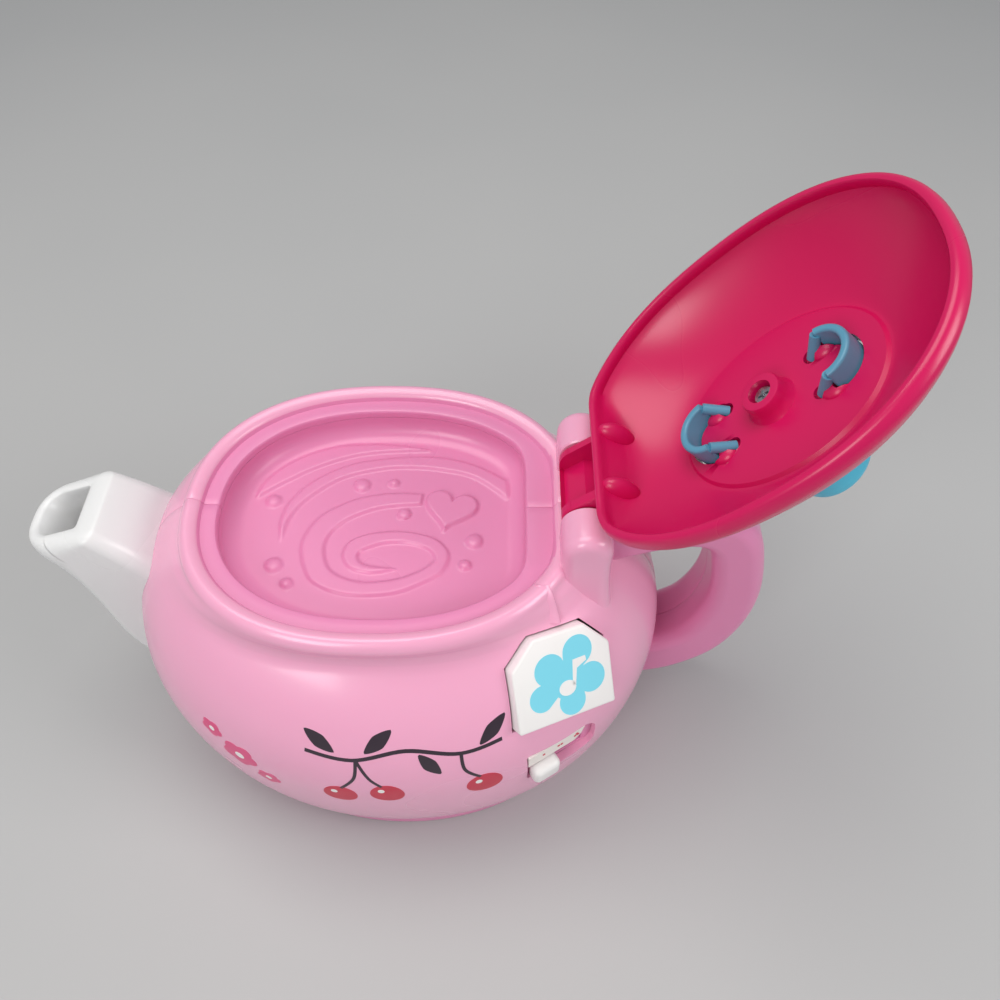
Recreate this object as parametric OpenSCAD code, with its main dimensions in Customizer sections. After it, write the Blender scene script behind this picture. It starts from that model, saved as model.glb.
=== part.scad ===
// Toy teapot with a hinged lid, a press button, two slide switches and a sound unit.
// The base centre on the table is the origin: +X to the handle, -X to the spout, -Y to the front.

/* [Body shell] */
// Half length of the belly at its widest
belly_a = 78; // [74:0.5:84]
// Half depth of the belly at its widest
belly_b = 64.8; // [61:0.2:70]
// Height of the widest line of the belly
belly_z = 47; // [42:1:52]
// Half length of the shell at its lower edge
foot_a = 64.6; // [62:0.2:68]
// Half depth of the shell at its lower edge
foot_b = 55.9; // [54:0.2:58]
// Height of the shell's lower edge
foot_z = 10; // [9:0.5:12]
// Half length of the crease under the collar
crease_a = 61.2; // [59:0.2:64]
// Half depth of the crease under the collar
crease_b = 44.2; // [43:0.2:48]
// Height of the crease under the collar
crease_z = 85.6; // [84:0.2:87]
// Wall thickness of the moulded shells
wall = 2.4; // [2:0.1:3]

/* [Rim and tea tray] */
// Half length of the groove that the lid sits in
rim_a = 49; // [47:0.2:51]
// Half depth of the groove that the lid sits in
rim_b = 39.4; // [38:0.2:41]
// Centre of the rim along the length
rim_x = -2.6; // [-4:0.2:0]
// Flat side of the groove beside the hinge
rim_flat_x = 43.8; // [43:0.2:45]
// Height of the ledge
ledge_z = 92; // [91:0.5:95]
// Width of the ledge
ledge_w = 4.4; // [3.5:0.1:6]
// Width of the rounded lip outside the groove
lip_w = 5; // [4:0.2:6]
// Height of the lip above the ledge
lip_h = 2.6; // [2:0.1:3.2]
// Flat side of the tray opening beside the hinge
tray_flat_x = 36.4; // [34:0.2:38]
// Depth from the ledge to the tray floor
tray_depth = 9; // [6:0.5:12]
// Thickness of the tray's floor, wall and flange
tray_t = 2; // [1.5:0.1:2.5]
// Height of the raised pattern on the tray floor
relief_h = 0.7; // [0.4:0.1:1.2]

/* [Hinge] */
// Hinge axis along the length
hinge_x = 51.6; // [50:0.2:54]
// Hinge axis above the table
hinge_z = 100.5; // [99:0.5:103]
// Outer radius of the hinge knuckles on the body
knuckle_r = 6.5; // [5.5:0.1:7]
// Inner end of the body knuckles, measured from the middle
knuckle_y0 = 11; // [9:0.2:13]
// Outer end of the body knuckles, measured from the middle
knuckle_y1 = 23; // [20:0.2:26]
// Radius of the hinge pin
pin_r = 1.5; // [1.2:0.1:2]

/* [Lid] */
// Angle that the lid stands open
lid_open = 130.5; // [90:0.5:134]
// Height of the lid's outer top face above the ledge
lid_h = 21; // [18:0.5:24]
// Wall thickness of the lid
lid_wall = 2.4; // [2:0.1:3]
// Overhang of the lid beyond the groove
lid_over = 0.9; // [0.6:0.1:1.8]
// Half length of the flat top of the lid
lid_top_a = 30; // [26:0.5:36]
// Fullness of the dome, from flat to bulging
lid_curve = 1.25; // [1.1:0.05:2.4]
// Radius of the screw boss inside the lid
boss_r = 5.15; // [4.5:0.05:6]
// Reach of the screw boss below the lid's inner face
boss_h = 5.6; // [4:0.2:8]

/* [Lid knob] */
// Distance of each petal from the knob's middle
petal_pitch = 14; // [12:0.5:16]
// Radius of each petal
petal_r = 9.5; // [8:0.5:11]
// Thickness of the petals
petal_t = 8; // [6:0.5:9]
// Stand-off of the petals from the lid
knob_gap = 3.5; // [2:0.5:5]
// Number of petals
petal_n = 5; // [4:1:6]
// Distance of the two spring clips from the knob's middle
clip_x = 18.4; // [16:0.2:20]

/* [Handle] */
// Half width of the handle
handle_w = 11; // [9:0.5:13]
// Thickness of the handle at its upper root
handle_t = 14; // [12:0.5:16]
// Growth of that thickness to the lower root
handle_grow = 8; // [4:0.5:10]
// Reach of the handle's outer curve from the middle
handle_reach = 98.8; // [96:0.2:104]

/* [Spout] */
// Half width of the spout at the body
spout_root_w = 16; // [14:0.2:18]
// Half width of the spout at the mouth
spout_mouth_w = 12.5; // [11:0.2:14]
// Tip of the mouth along the length
spout_tip_x = -104; // [-110:0.5:-100]
// Tip of the mouth above the table
spout_tip_z = 84; // [80:0.5:88]
// Back edge of the mouth along the length
spout_back_x = -80.3; // [-84:0.1:-78]
// Back edge of the mouth above the table
spout_back_z = 92.5; // [90:0.5:96]
// Wall thickness of the spout
spout_wall = 2; // [1.6:0.1:2.6]

/* [Base] */
// Reach of the foot ring beyond the shell's lower edge
base_proud = 0.9; // [0.4:0.1:1.4]
// Width of the foot ring on the table
foot_w = 5; // [4:0.5:6]
// Gap from the table to the underside of the floor
floor_z = 1.4; // [1:0.1:2]
// Thickness of the floor
floor_t = 3; // [2.6:0.1:3.6]
// Half distance between the base screws along the length
base_screw_x = 50; // [48:0.5:52]
// Half distance between the base screws across the depth
base_screw_y = 24; // [22:0.5:26]

/* [Battery box] */
// Radius of an AA cell
cell_r = 7.1; // [6.9:0.05:7.25]
// Length of an AA cell without its tip
cell_l = 49.4; // [48.8:0.1:49.6]
// Distance between neighbouring cells
cell_pitch = 15; // [14.8:0.1:15.6]
// Middle of the battery box along the length
box_x = 19; // [17:0.5:21]
// Wall thickness of the battery box
box_wall = 1.6; // [1.2:0.1:2]

/* [Sound unit] */
// Outer radius of the loudspeaker
speaker_r = 20; // [18:0.5:21]
// Middle of the loudspeaker along the length
speaker_x = -32.5; // [-33:0.5:-31]
// Length of the circuit board
board_l = 44; // [40:1:46]
// Depth of the circuit board
board_d = 44; // [36:1:46]

/* [Controls] */
// Middle of the tag button along the length
tag_x = 45.6; // [43:0.2:48]
// Middle of the tag button above the table
tag_z = 75.7; // [73:0.2:77]
// Width of the tag button
tag_w = 29; // [26:0.5:31]
// Height of the tag button
tag_h = 24.5; // [22:0.5:26]
// Cut corner of the tag button
tag_cut = 7; // [5:0.5:9]
// Travel of the tag button
tag_travel = 1.6; // [1:0.1:2]
// Middle of the stage switch along the length
stage_x = 47.5; // [45:0.5:50]
// Middle of the stage switch above the table
stage_z = 49; // [46:0.5:52]
// Travel of the stage switch
stage_travel = 12; // [9:0.5:12]
// Middle of the power switch above the table
power_z = 40; // [36:0.5:46]
// Travel of the power switch
power_travel = 10; // [8:0.5:12]

/* [Fasteners and fits] */
// Shank radius of the self-tapping screws
screw_r = 1.3; // [1.1:0.05:1.5]
// Head radius of the self-tapping screws
head_r = 2.25; // [2:0.05:2.6]
// Head height of the self-tapping screws
head_h = 1.7; // [1.4:0.1:2]
// Radius of the screw posts
post_r = 3.6; // [3.4:0.1:4]
// Clearance around pieces that are set into the shells
seat_gap = 0.2; // [0.1:0.05:0.3]
// Clearance around pieces that slide
slide_gap = 0.45; // [0.35:0.05:0.6]
// Radial clearance of pins and screws in their bores
bore_gap = 0.03; // [0.02:0.01:0.06]

/* [Hidden] */
$fn = 48;
eps = 0.01;
far = 999;

pink = [0.95, 0.68, 0.82];
deep_pink = [0.90, 0.52, 0.73];
magenta = [0.84, 0.12, 0.40];
sky = [0.45, 0.78, 0.88];
milk = [0.90, 0.90, 0.88];
steel = [0.72, 0.73, 0.75];
board_green = [0.13, 0.42, 0.25];
black = [0.12, 0.12, 0.13];
brass = [0.80, 0.66, 0.32];
copper_wrap = [0.75, 0.45, 0.20];

// Curves of the shell: fullness below the belly, slope of the shoulder, squareness of belly and rim
low_curve = 1.9;
shoulder_curve = 2.15;
belly_n = 2.05;
rim_n = 2.28;
half_steps = 28;
low_rows = 6;
shoulder_rows = 8;
corner_soft = 2.4;
tray_soft = 4;

// A row of the shell is [half length, half depth, centre x, squareness, height, flat side, softness]
function signed_pow(v, p) = sign(v) * pow(abs(v), p);
function soft_min(x, f, r) = x < f - r ? x : x > f + r ? f : f - pow(r - x + f, 2) / (4 * r);
function oval_x(r, t) = r[2] + r[0] * signed_pow(cos(t), 2 / r[3]);
function oval_point(r, t) = [
    soft_min(oval_x(r, t), r[5], r[6]),
    r[1] * signed_pow(sin(t), 2 / r[3]),
    r[4]
];
function mix(p, q, s) = p + (q - p) * s;
function low_share(s) = pow(1 - pow(1 - s, low_curve), 1 / low_curve);
function low_row(z) = let(s = low_share((z - foot_z) / (belly_z - foot_z)))
    [mix(foot_a, belly_a, s), mix(foot_b, belly_b, s), 0, belly_n, z, far, 1];
function shoulder_row(z) = let(s = pow((z - belly_z) / (crease_z - belly_z), shoulder_curve))
    [mix(belly_a, crease_a, s), mix(belly_b, crease_b, s), rim_x * s, mix(belly_n, rim_n, s), z, far, 1];
function body_row(z) = z < belly_z ? low_row(z) : shoulder_row(z);
function rim_row(grow, z, flat, soft = corner_soft) =
    [rim_a + grow, rim_b + grow, rim_x, rim_n, z, flat, soft];
function inset(r, d) = [r[0] - d, r[1] - d, r[2], r[3], r[4], r[5], r[6]];
function wall_y(x, z) = let(r = body_row(z))
    r[1] * pow(max(0, 1 - pow(abs(x - r[2]) / r[0], r[3])), 1 / r[3]);
function reach(x, y, z) = let(r = body_row(z))
    pow(pow(abs(x / r[0]), r[3]) + pow(abs(y / r[1]), r[3]), -1 / r[3]);

// Heights of the rows, closer together where the shell curves more
low_z = [for (i = [0 : low_rows]) mix(foot_z, belly_z, pow(i / low_rows, 1.4))];
shoulder_z = [for (i = [1 : shoulder_rows]) mix(belly_z, crease_z, i / shoulder_rows)];
body_z = concat(low_z, shoulder_z);

// The rim: collar, rounded lip, groove, ledge, and the slot below it that holds the tray's flange
flange_z = ledge_z - wall;
slot_z = flange_z - tray_t - seat_gap;
rib_z = slot_z - 1.5;
flange_grow = 1.2;
rib_grow = -2;
inner_top_z = rib_z - 2.5;
rim_rows = [
    [mix(crease_a, rim_a + lip_w, 0.5), mix(crease_b, rim_b + lip_w, 0.5), rim_x, rim_n,
        mix(crease_z, ledge_z, 0.5), far, 1],
    rim_row(lip_w + 0.5, ledge_z, far),
    rim_row(lip_w * 0.92, ledge_z + lip_h * 0.7, far),
    rim_row(lip_w * 0.68, ledge_z + lip_h, far),
    rim_row(lip_w * 0.40, ledge_z + lip_h * 0.92, rim_flat_x + lip_w * 0.4),
    rim_row(lip_w * 0.18, ledge_z + lip_h * 0.6, rim_flat_x + lip_w * 0.18),
    rim_row(0, ledge_z, rim_flat_x),
    rim_row(-ledge_w, ledge_z, tray_flat_x, tray_soft),
    rim_row(-ledge_w, flange_z, tray_flat_x, tray_soft),
    rim_row(flange_grow + seat_gap, flange_z, rim_flat_x + flange_grow + seat_gap),
    rim_row(flange_grow + seat_gap, slot_z, rim_flat_x + flange_grow + seat_gap),
    rim_row(rib_grow, slot_z, rim_flat_x + rib_grow),
    rim_row(rib_grow, rib_z, rim_flat_x + rib_grow)
];
inner_z = [for (i = [len(body_z) - 1 : -1 : 0]) if (body_z[i] < inner_top_z) body_z[i]];
inner_rows = [for (z = concat([inner_top_z], inner_z)) inset(body_row(z), wall)];
outer_rows = [for (z = body_z) body_row(z)];
shell_rows = concat(outer_rows, rim_rows, inner_rows);

// Sizes shared by pieces that fit together
tap_r = screw_r + bore_gap;
through_r = screw_r + 0.2;
head_hole_r = head_r + 0.4;
cut_z = -8;
cut_h = 20;
hinge_relief = knuckle_r + 0.7;
lid_block_y = knuckle_y0 - slide_gap;
lid_block_r = knuckle_r - 0.2;
lid_z = ledge_z + 0.4;
lid_top_z = ledge_z + lid_h;
lid_in_z = lid_top_z - lid_wall;
lid_wide_z = ledge_z + lip_h + 1;
lid_flat_x = rim_flat_x - 2.3;
lid_rows_n = 6;
lid_pocket_l = 9;
lid_gusset = [6, 1.8, 6];
lid_gusset_y = 9;
boss_x = rim_x + 2;
boss_bore_r = head_r + 0.75;
head_seat = 2.2;
knob_z = lid_top_z + knob_gap;
clip_slot = [9.5, 15];
clip_end_z = lid_in_z - 3.4;
clip_r = 6.6;
clip_t = 1.8;
petal_dish = 2.4;
knob_bore = 8;
floor_top = floor_z + floor_t;
base_lip_h = 3;
base_lip_t = 1.5;
base_in = wall + base_proud + seat_gap + base_lip_t + 0.3;
cells = 3;
box_in_x = cell_pitch * (cells - 1) / 2 + cell_r + 0.5;
box_in_y = cell_l / 2 + 4;
door_z = floor_z;
door_t = 1.8;
door_lap = 1.6;
cell_z = door_z + door_t + cell_r + 0.4;
box_top = cell_z + cell_r + 0.6;
roof_z = box_top + box_wall;
lug_w = 6;
lug_x = box_x + box_in_x + box_wall + 4.4;
tip_r = 2.6;
tip_l = 1;
plate_t = 0.5;
spring_r = 3.4;
spring_wire = 0.8;
spring_turns = 3;
spring_sink = 0.2;
board_t = 1.6;
board_z = roof_z + 4;
board_x = box_x - 2;
board_screw = [board_l / 2 - 4, board_d / 2 - 4];
board_screw_l = board_t + board_z - roof_z;
clamp_screw_r = speaker_r + 4.4;
clamp_angles = [60, 180, 300];
grille_pitch = 6.2;
grille_r = 1.2;
small_post_r = 2.6;
door_post_h = 10;
base_screw_grip = 11;
speaker_rim_t = 2;
clamp_t = 1.6;
clamp_screw_l = clamp_t + speaker_rim_t + 1.4;
shell_posts = [[-42, 36], [-42, 68], [50, 34], [8, 71]];
post_sink = 0.6;
post_grip = 7;
base_post_z = foot_z + 16;
web_t = 1.8;
can_r = 3.7;
can_l = 13;
can_wall = 1;
ball_r = can_r - can_wall - 0.3;
tilt_free = can_l - 2 * can_wall - 2 * ball_r - 2 * seat_gap;
tag_az = -56;
tag_el = 37;
tag_spin = -13;
tag_proud = 1.6;
tag_flange_z = -7.4;
tag_lap = 1.2;
tag_flange_t = 1.2;
tag_plunger = [3, 2];
tag_dome_wall = 0.8;
tag_dome_h = tag_travel + tag_dome_wall + 1;
tag_board_z = tag_flange_z - tag_flange_t - tag_plunger[1] - tag_dome_h;
tag_pos = [tag_x, -wall_y(tag_x, tag_z), tag_z];
tag_post_x = tag_w / 2 + 5.4;
tag_post_r = 2.8;
stage_az = -58;
stage_pos = [stage_x, -wall_y(stage_x, stage_z), stage_z];
power_az = 90;
power_pos = [0, wall_y(0, power_z), power_z];
slide_h = 14;
slide_edge = 5;
slide_lap = 1.4;
slide_face_z = -2.6;
slide_plate_z = -6.4;
slide_slot_y = -slide_h / 4;
slide_stem = 3;
slide_pin = 2;
slide_knob_w = 7.6;
slide_knob_h = 6.6;
slide_knob_t = 4.4;
slide_catch_z = slide_plate_z - slide_lap - slide_gap;
slide_case = [8, 6.4, 1.6];
slide_board_h = 14;
switch_screw_l = 5.6;
switch_bore = 6;
slide_post = 5.2;
slide_post_r = 2.6;
slide_switch_z = slide_catch_z - slide_case[2] - slide_gap;
lamp_r = 2.5;
lamp_h = 2.6;
lamp_post = [2.8, 8];

// Spout outlines in the middle plane, from the body to the mouth
spout_low = [[-76, 21], [-92, 34], [-86, 58], [spout_tip_x, spout_tip_z]];
spout_high = [[-63, 77.5], [-69, 83], [-75, 90], [spout_back_x, spout_back_z]];
spout_root = [[-60, 27], [-52, 72]];
spout_steps = 8;
spout_floor = 0.3;
spout_root_end = 0.26;
spout_round = [7, 3.5];
root_middle = (spout_root[0] + spout_root[1]) / 2;
root_h = norm(spout_root[1] - spout_root[0]);
root_lean = atan2(spout_root[1][0] - spout_root[0][0], spout_root[1][1] - spout_root[0][1]);
lamp_post_y = spout_root_w - spout_wall - lamp_post[0] + 0.6;
// Handle centre line in the middle plane, from the upper root to the lower root
handle_line = [
    [56, 85], [66, 89.5], [76, 93], [86, 93], [handle_reach - 5.8, 87.5], [handle_reach - 2, 75],
    [handle_reach, 60], [handle_reach - 1.4, 46], [handle_reach - 6.3, 33.5], [84, 25.4], [76, 22.4],
    [68, 21.8]
];
handle_sub = 2;
handle_round = 4.5;
handle_posts = [3, 6, 9];
handle_grip = 5;

function bezier(p, t) = pow(1 - t, 3) * p[0] + 3 * t * pow(1 - t, 2) * p[1]
    + 3 * t * t * (1 - t) * p[2] + pow(t, 3) * p[3];
function curve(p, i, t) = let(a = p[max(i - 1, 0)], b = p[i], c = p[i + 1], d = p[min(i + 2, len(p) - 1)])
    0.5 * (2 * b + (c - a) * t + (2 * a - 5 * b + 4 * c - d) * t * t + (3 * b - a - 3 * c + d) * t * t * t);
function unit(v) = v / norm(v);
// Rounded rectangle of half sizes u and v, as points around its edge
function round_rect(u, v, r) = [for (q = [0 : 3], k = [0 : 3]) let(a = 90 * q + 30 * k)
    [(q == 0 || q == 3 ? u - r : r - u) + r * cos(a), (q < 2 ? v - r : r - v) + r * sin(a)]];
// Ring of a section whose lower and upper edges lie at two points of the middle plane
function section(low, high, w, r, grow) = let(d = unit(high - low), c = (low + high) / 2)
    [for (p = round_rect(w + grow, norm(high - low) / 2 + grow, max(r + grow, 0.4)))
        [c[0] + p[1] * d[0], p[0], c[1] + p[1] * d[1]]];

// Closed solid through a row of rings that all have the same number of points
function ring_sides(n, m) = [for (i = [0 : n - 2], j = [0 : m - 1], k = [0, 1])
    let(a = i * m + j, b = i * m + (j + 1) % m)
        k == 0 ? [a, b, b + m] : [a, b + m, a + m]];
module skin(rings) {
    n = len(rings);
    m = len(rings[0]);
    caps = [[for (j = [m - 1 : -1 : 0]) j], [for (j = [0 : m - 1]) (n - 1) * m + j]];
    polyhedron(points = [for (r = rings, p = r) p], faces = concat(ring_sides(n, m), caps), convexity = 8);
}
// The same for hollow sections, whose loops run along the outer edge and back along the inner edge
module channel_skin(rings) {
    n = len(rings);
    m = len(rings[0]);
    strip = [for (j = [0 : m / 2 - 2]) [j, j + 1, m - 2 - j, m - 1 - j]];
    first = [for (q = strip) [q[3], q[2], q[1], q[0]]];
    last = [for (q = strip) [for (v = q) v + (n - 1) * m]];
    faces = concat(ring_sides(n, m), first, last);
    polyhedron(points = [for (r = rings, p = r) p], faces = faces, convexity = 8);
}
// The same for rings that come round to the first one again
module round_skin(rings) {
    n = len(rings);
    m = len(rings[0]);
    faces = [for (f = ring_sides(n + 1, m)) [for (v = f) v % (n * m)]];
    polyhedron(points = [for (r = rings, p = r) p], faces = faces, convexity = 8);
}
// The same for flat end rings that are fanned out from their middles
function middle(ring) = [for (v = [0 : 2]) let(c = [for (p = ring) p[v]]) (min(c) + max(c)) / 2];
module fan_skin(rings) {
    n = len(rings);
    m = len(rings[0]);
    first = [for (j = [0 : m - 1]) [n * m, (j + 1) % m, j]];
    last = [for (j = [0 : m - 1]) [n * m + 1, (n - 1) * m + j, (n - 1) * m + (j + 1) % m]];
    points = concat([for (r = rings, p = r) p], [middle(rings[0]), middle(rings[n - 1])]);
    polyhedron(points = points, faces = concat(ring_sides(n, m), first, last), convexity = 8);
}

// Frame on the shell: z points outwards, x runs along the surface, y points up
module face_at(pos, az, el = 0, spin = 0) {
    translate(pos) rotate([90 - el, 0, az + 90]) rotate(spin) children();
}
module block(size, z0) {
    translate([-size[0] / 2, -size[1] / 2, z0]) cube(size);
}
module tube(r, r_in, h) {
    difference() {
        cylinder(r = r, h = h);
        translate([0, 0, -eps]) cylinder(r = r_in, h = h + 2 * eps);
    }
}
// Self-tapping screw: head from z = 0 down, shank up
module screw(l) {
    difference() {
        translate([0, 0, -head_h]) cylinder(r = head_r, h = head_h);
        for (a = [0, 90]) rotate(a) block([head_r * 1.3, 0.7, 0.9], -head_h - eps);
    }
    cylinder(r = screw_r, h = l);
}
module along_y(x, z) {
    translate([x, 0, z]) rotate([-90, 0, 0]) children();
}

// Eight-sided screw post
module post(r, h) {
    cylinder(r = r, h = h, $fn = 8);
}

// Solid that ends in the middle of the shell's wall
function oval_ring(r) = [for (i = [2 * half_steps - 1 : -1 : 0]) oval_point(r, 180 * i / half_steps)];
module shell_core() {
    fan_skin([for (z = body_z) oval_ring(inset(body_row(z), wall / 2))]);
}

// Body shells, split on the middle plane
module half_shell(side) {
    size = 2 * belly_a + 2 * belly_b;
    turns = [for (i = [0 : 2 * half_steps - 1]) 180 * (i + 0.5) / half_steps];
    intersection() {
        round_skin([for (t = turns) [for (r = shell_rows) oval_point(r, t)]]);
        translate([-size / 2, side < 0 ? -size : 0, -size / 2]) cube(size);
    }
}
module knuckle(side) {
    y0 = side > 0 ? knuckle_y0 : -knuckle_y1;
    len_y = knuckle_y1 - knuckle_y0;
    translate([0, y0, 0]) along_y(hinge_x, hinge_z) cylinder(r = knuckle_r, h = len_y);
    translate([hinge_x - knuckle_r, y0, slot_z]) cube([2 * knuckle_r, len_y, hinge_z - slot_z]);
}
function post_length(p) = min([for (dx = [-1, 1], dz = [-1, 1])
    wall_y(p[0] + dx * post_r, p[1] + dz * post_r)]) - post_sink;
module shell_post_solids(side) {
    for (p = shell_posts) {
        l = post_length(p);
        translate([0, side > 0 ? 0 : -l, 0]) along_y(p[0], p[1]) post(post_r, l);
    }
}
module base_post_solids(side) {
    web_z = foot_z + base_lip_h + 1;
    r = norm([base_screw_x, base_screw_y]);
    low = r * reach(base_screw_x, base_screw_y, web_z) - wall / 2;
    high = r * reach(base_screw_x, base_screw_y, base_post_z) - wall / 2;
    for (x = [-1, 1] * base_screw_x) {
        translate([x, side * base_screw_y, foot_z]) post(post_r, base_post_z - foot_z);
        rotate([90, 0, atan2(side * base_screw_y, x)]) translate([0, 0, -web_t / 2]) linear_extrude(web_t)
            polygon([[r, web_z], [low, web_z], [high, base_post_z], [r, base_post_z]]);
    }
}
module shell_cuts(side) {
    spout_solid(seat_gap, 0.6);
    handle_solid(seat_gap, 0, 3);
    handle_solid(seat_gap, 8, 11);
    translate([0, -lid_block_y - slide_gap, 0]) along_y(hinge_x, hinge_z)
        cylinder(r = hinge_relief, h = 2 * (lid_block_y + slide_gap));
    translate([0, -knuckle_y1 - 1, 0]) along_y(hinge_x, hinge_z)
        cylinder(r = pin_r + bore_gap, h = 2 * knuckle_y1 + 2);
    for (x = [-1, 1] * base_screw_x) {
        translate([x, side * base_screw_y, foot_z - eps]) cylinder(r = tap_r, h = base_screw_grip + 2);
    }
}
module body_front() {
    color(pink) difference() {
        union() {
            half_shell(-1);
            knuckle(-1);
            shell_post_solids(-1);
            base_post_solids(-1);
            intersection() {
                union() {
                    face_at(tag_pos, tag_az, tag_el, tag_spin) tag_posts();
                    face_at(stage_pos, stage_az) slide_posts(stage_travel);
                }
                shell_core();
            }
        }
        shell_cuts(-1);
        for (p = shell_posts) {
            translate([0, -post_grip - 2, 0]) along_y(p[0], p[1])
                cylinder(r = tap_r, h = post_grip + 2 + eps);
        }
        face_at(tag_pos, tag_az, tag_el, tag_spin) {
            translate([0, 0, cut_z]) linear_extrude(cut_h) tag_outline(slide_gap);
            tag_post_bores();
        }
        face_at(stage_pos, stage_az) {
            block([stage_window() + 2 * seat_gap, slide_h + 2 * seat_gap, cut_h], cut_z);
            slide_post_bores(stage_travel);
        }
    }
}
module body_back() {
    color(pink) difference() {
        union() {
            half_shell(1);
            knuckle(1);
            shell_post_solids(1);
            base_post_solids(1);
            intersection() {
                face_at(power_pos, power_az) slide_posts(power_travel);
                shell_core();
            }
        }
        shell_cuts(1);
        for (p = shell_posts) {
            translate([0, -eps, 0]) along_y(p[0], p[1]) cylinder(r = through_r, h = post_grip + 2 * eps);
            translate([0, post_grip, 0]) along_y(p[0], p[1]) post(head_r + 0.6, belly_b);
        }
        face_at(power_pos, power_az) {
            block([power_window() + 2 * seat_gap, slide_h + 2 * seat_gap, cut_h], cut_z);
            slide_post_bores(power_travel);
        }
    }
}
module shell_screws() {
    color(steel) for (p = shell_posts) {
        translate([p[0], post_grip, p[1]]) rotate([90, 0, 0]) screw(post_grip * 2);
    }
}

// Spout: a tall root inside the belly, a neck and a wide open mouth
function spout_ring(t, grow) = section(bezier(spout_low, t), bezier(spout_high, t),
    mix(spout_root_w, spout_mouth_w, t), mix(spout_round[0], spout_round[1], t), grow);
function spout_rings(t0, t1, grow) = [for (i = [0 : spout_steps]) let(t = i / spout_steps)
    if (t >= t0 && t <= t1) spout_ring(t, grow)];
function root_ring(grow) = section(spout_root[0], spout_root[1], spout_root_w, spout_round[0], grow);
module spout_solid(grow, t1) {
    skin(concat([root_ring(grow)], spout_rings(0, t1, grow)));
}
// Frame on the root's rim: z points into the body, y across
module at_root() {
    translate([root_middle[0], 0, root_middle[1]]) rotate([0, 90 + root_lean, 0]) children();
}
module at_lamp_screws() {
    at_root() for (y = [-1, 1] * lamp_post_y) {
        translate([0, y, 0]) children();
    }
}
module spout() {
    mouth = unit([spout_back_x - spout_tip_x, spout_back_z - spout_tip_z]);
    beyond = [for (p = spout_ring(1, -spout_wall)) p + 3 * [-mouth[1], 0, mouth[0]]];
    root_out = [for (p = root_ring(-spout_wall)) p + [cos(root_lean), 0, -sin(root_lean)]];
    color(milk) difference() {
        union() {
            difference() {
                spout_solid(0, 1);
                skin(concat(spout_rings(spout_floor, 1, -spout_wall), [beyond]));
                skin(concat([root_out, root_ring(-spout_wall)], spout_rings(0, spout_root_end, -spout_wall)));
            }
            at_lamp_screws() translate([0, 0, -lamp_post[1]]) post(lamp_post[0], lamp_post[1] - seat_gap);
        }
        at_lamp_screws() translate([0, 0, 1 - lamp_post[1]]) cylinder(r = tap_r, h = lamp_post[1]);
    }
}
module spout_lamp_board() {
    color(board_green) difference() {
        at_root() block([root_h - spout_wall, 2 * spout_root_w - spout_wall, board_t], 0);
        at_lamp_screws() translate([0, 0, -eps]) cylinder(r = through_r, h = board_t + 1);
    }
}
module spout_lamp() {
    color("white") at_root() mirror([0, 0, 1]) {
        cylinder(r = lamp_r + 0.4, h = 1);
        cylinder(r = lamp_r, h = lamp_h);
        translate([0, 0, lamp_h]) sphere(r = lamp_r);
    }
}

// Handle: two hollow halves that meet on the middle plane
handle_steps = (len(handle_line) - 1) * handle_sub;
function handle_at(i) = let(s = min(floor(i / handle_sub), len(handle_line) - 2))
    curve(handle_line, s, i / handle_sub - s);
function handle_dir(i) = unit(handle_at(min(i + 0.2, handle_steps)) - handle_at(max(i - 0.2, 0)));
function handle_side(i) = let(d = handle_dir(i)) [d[1], -d[0]];
function handle_half(i) = (handle_t + handle_grow * pow(i / handle_steps, 3)) / 2;
function handle_ring(i, grow) = let(c = handle_at(i), n = handle_side(i), h = handle_half(i))
    section(c - n * h, c + n * h, handle_w, handle_round, grow);
module handle_solid(grow, s0, s1) {
    skin([for (i = [s0 * handle_sub : s1 * handle_sub]) handle_ring(i, grow)]);
}
// One half of the hollow section: outer edge, then the inner edge back again
function half_loop(w, h, r) = concat(
    [[0, h]],
    [for (k = [0 : 4]) [w - r + r * sin(22.5 * k), h - r + r * cos(22.5 * k)]],
    [for (k = [0 : 4]) [w - r + r * cos(22.5 * k), r - h - r * sin(22.5 * k)]],
    [[0, -h]]
);
function hollow_loop(h) = let(inner = half_loop(handle_w - wall, h - wall, handle_round - wall))
    concat(half_loop(handle_w, h, handle_round), [for (k = [len(inner) - 1 : -1 : 0]) inner[k]]);
module handle_shell() {
    channel_skin([for (i = [0 : handle_steps]) let(c = handle_at(i), n = handle_side(i))
        [for (p = hollow_loop(handle_half(i))) [c[0] + p[1] * n[0], -p[0], c[1] + p[1] * n[1]]]]);
}
module handle_post(side, r, h) {
    for (i = handle_posts) {
        p = handle_line[i];
        translate([0, side > 0 ? 0 : -h, 0]) along_y(p[0], p[1]) cylinder(r = r, h = h);
    }
}
module handle_front() {
    color(deep_pink) difference() {
        union() {
            handle_shell();
            handle_post(-1, post_r, handle_w - wall / 2);
        }
        translate([0, eps, 0]) handle_post(-1, tap_r, post_grip);
    }
}
module handle_back() {
    color(deep_pink) difference() {
        union() {
            mirror([0, 1, 0]) handle_shell();
            handle_post(1, post_r, handle_w - wall / 2);
        }
        translate([0, -eps, 0]) handle_post(1, through_r, post_grip);
        translate([0, handle_grip, 0]) handle_post(1, head_hole_r, handle_w);
    }
}
module handle_screws() {
    color(steel) for (i = handle_posts) {
        translate([handle_line[i][0], handle_grip, handle_line[i][1]]) rotate([90, 0, 0])
            screw(handle_grip + post_grip - 1);
    }
}

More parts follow.
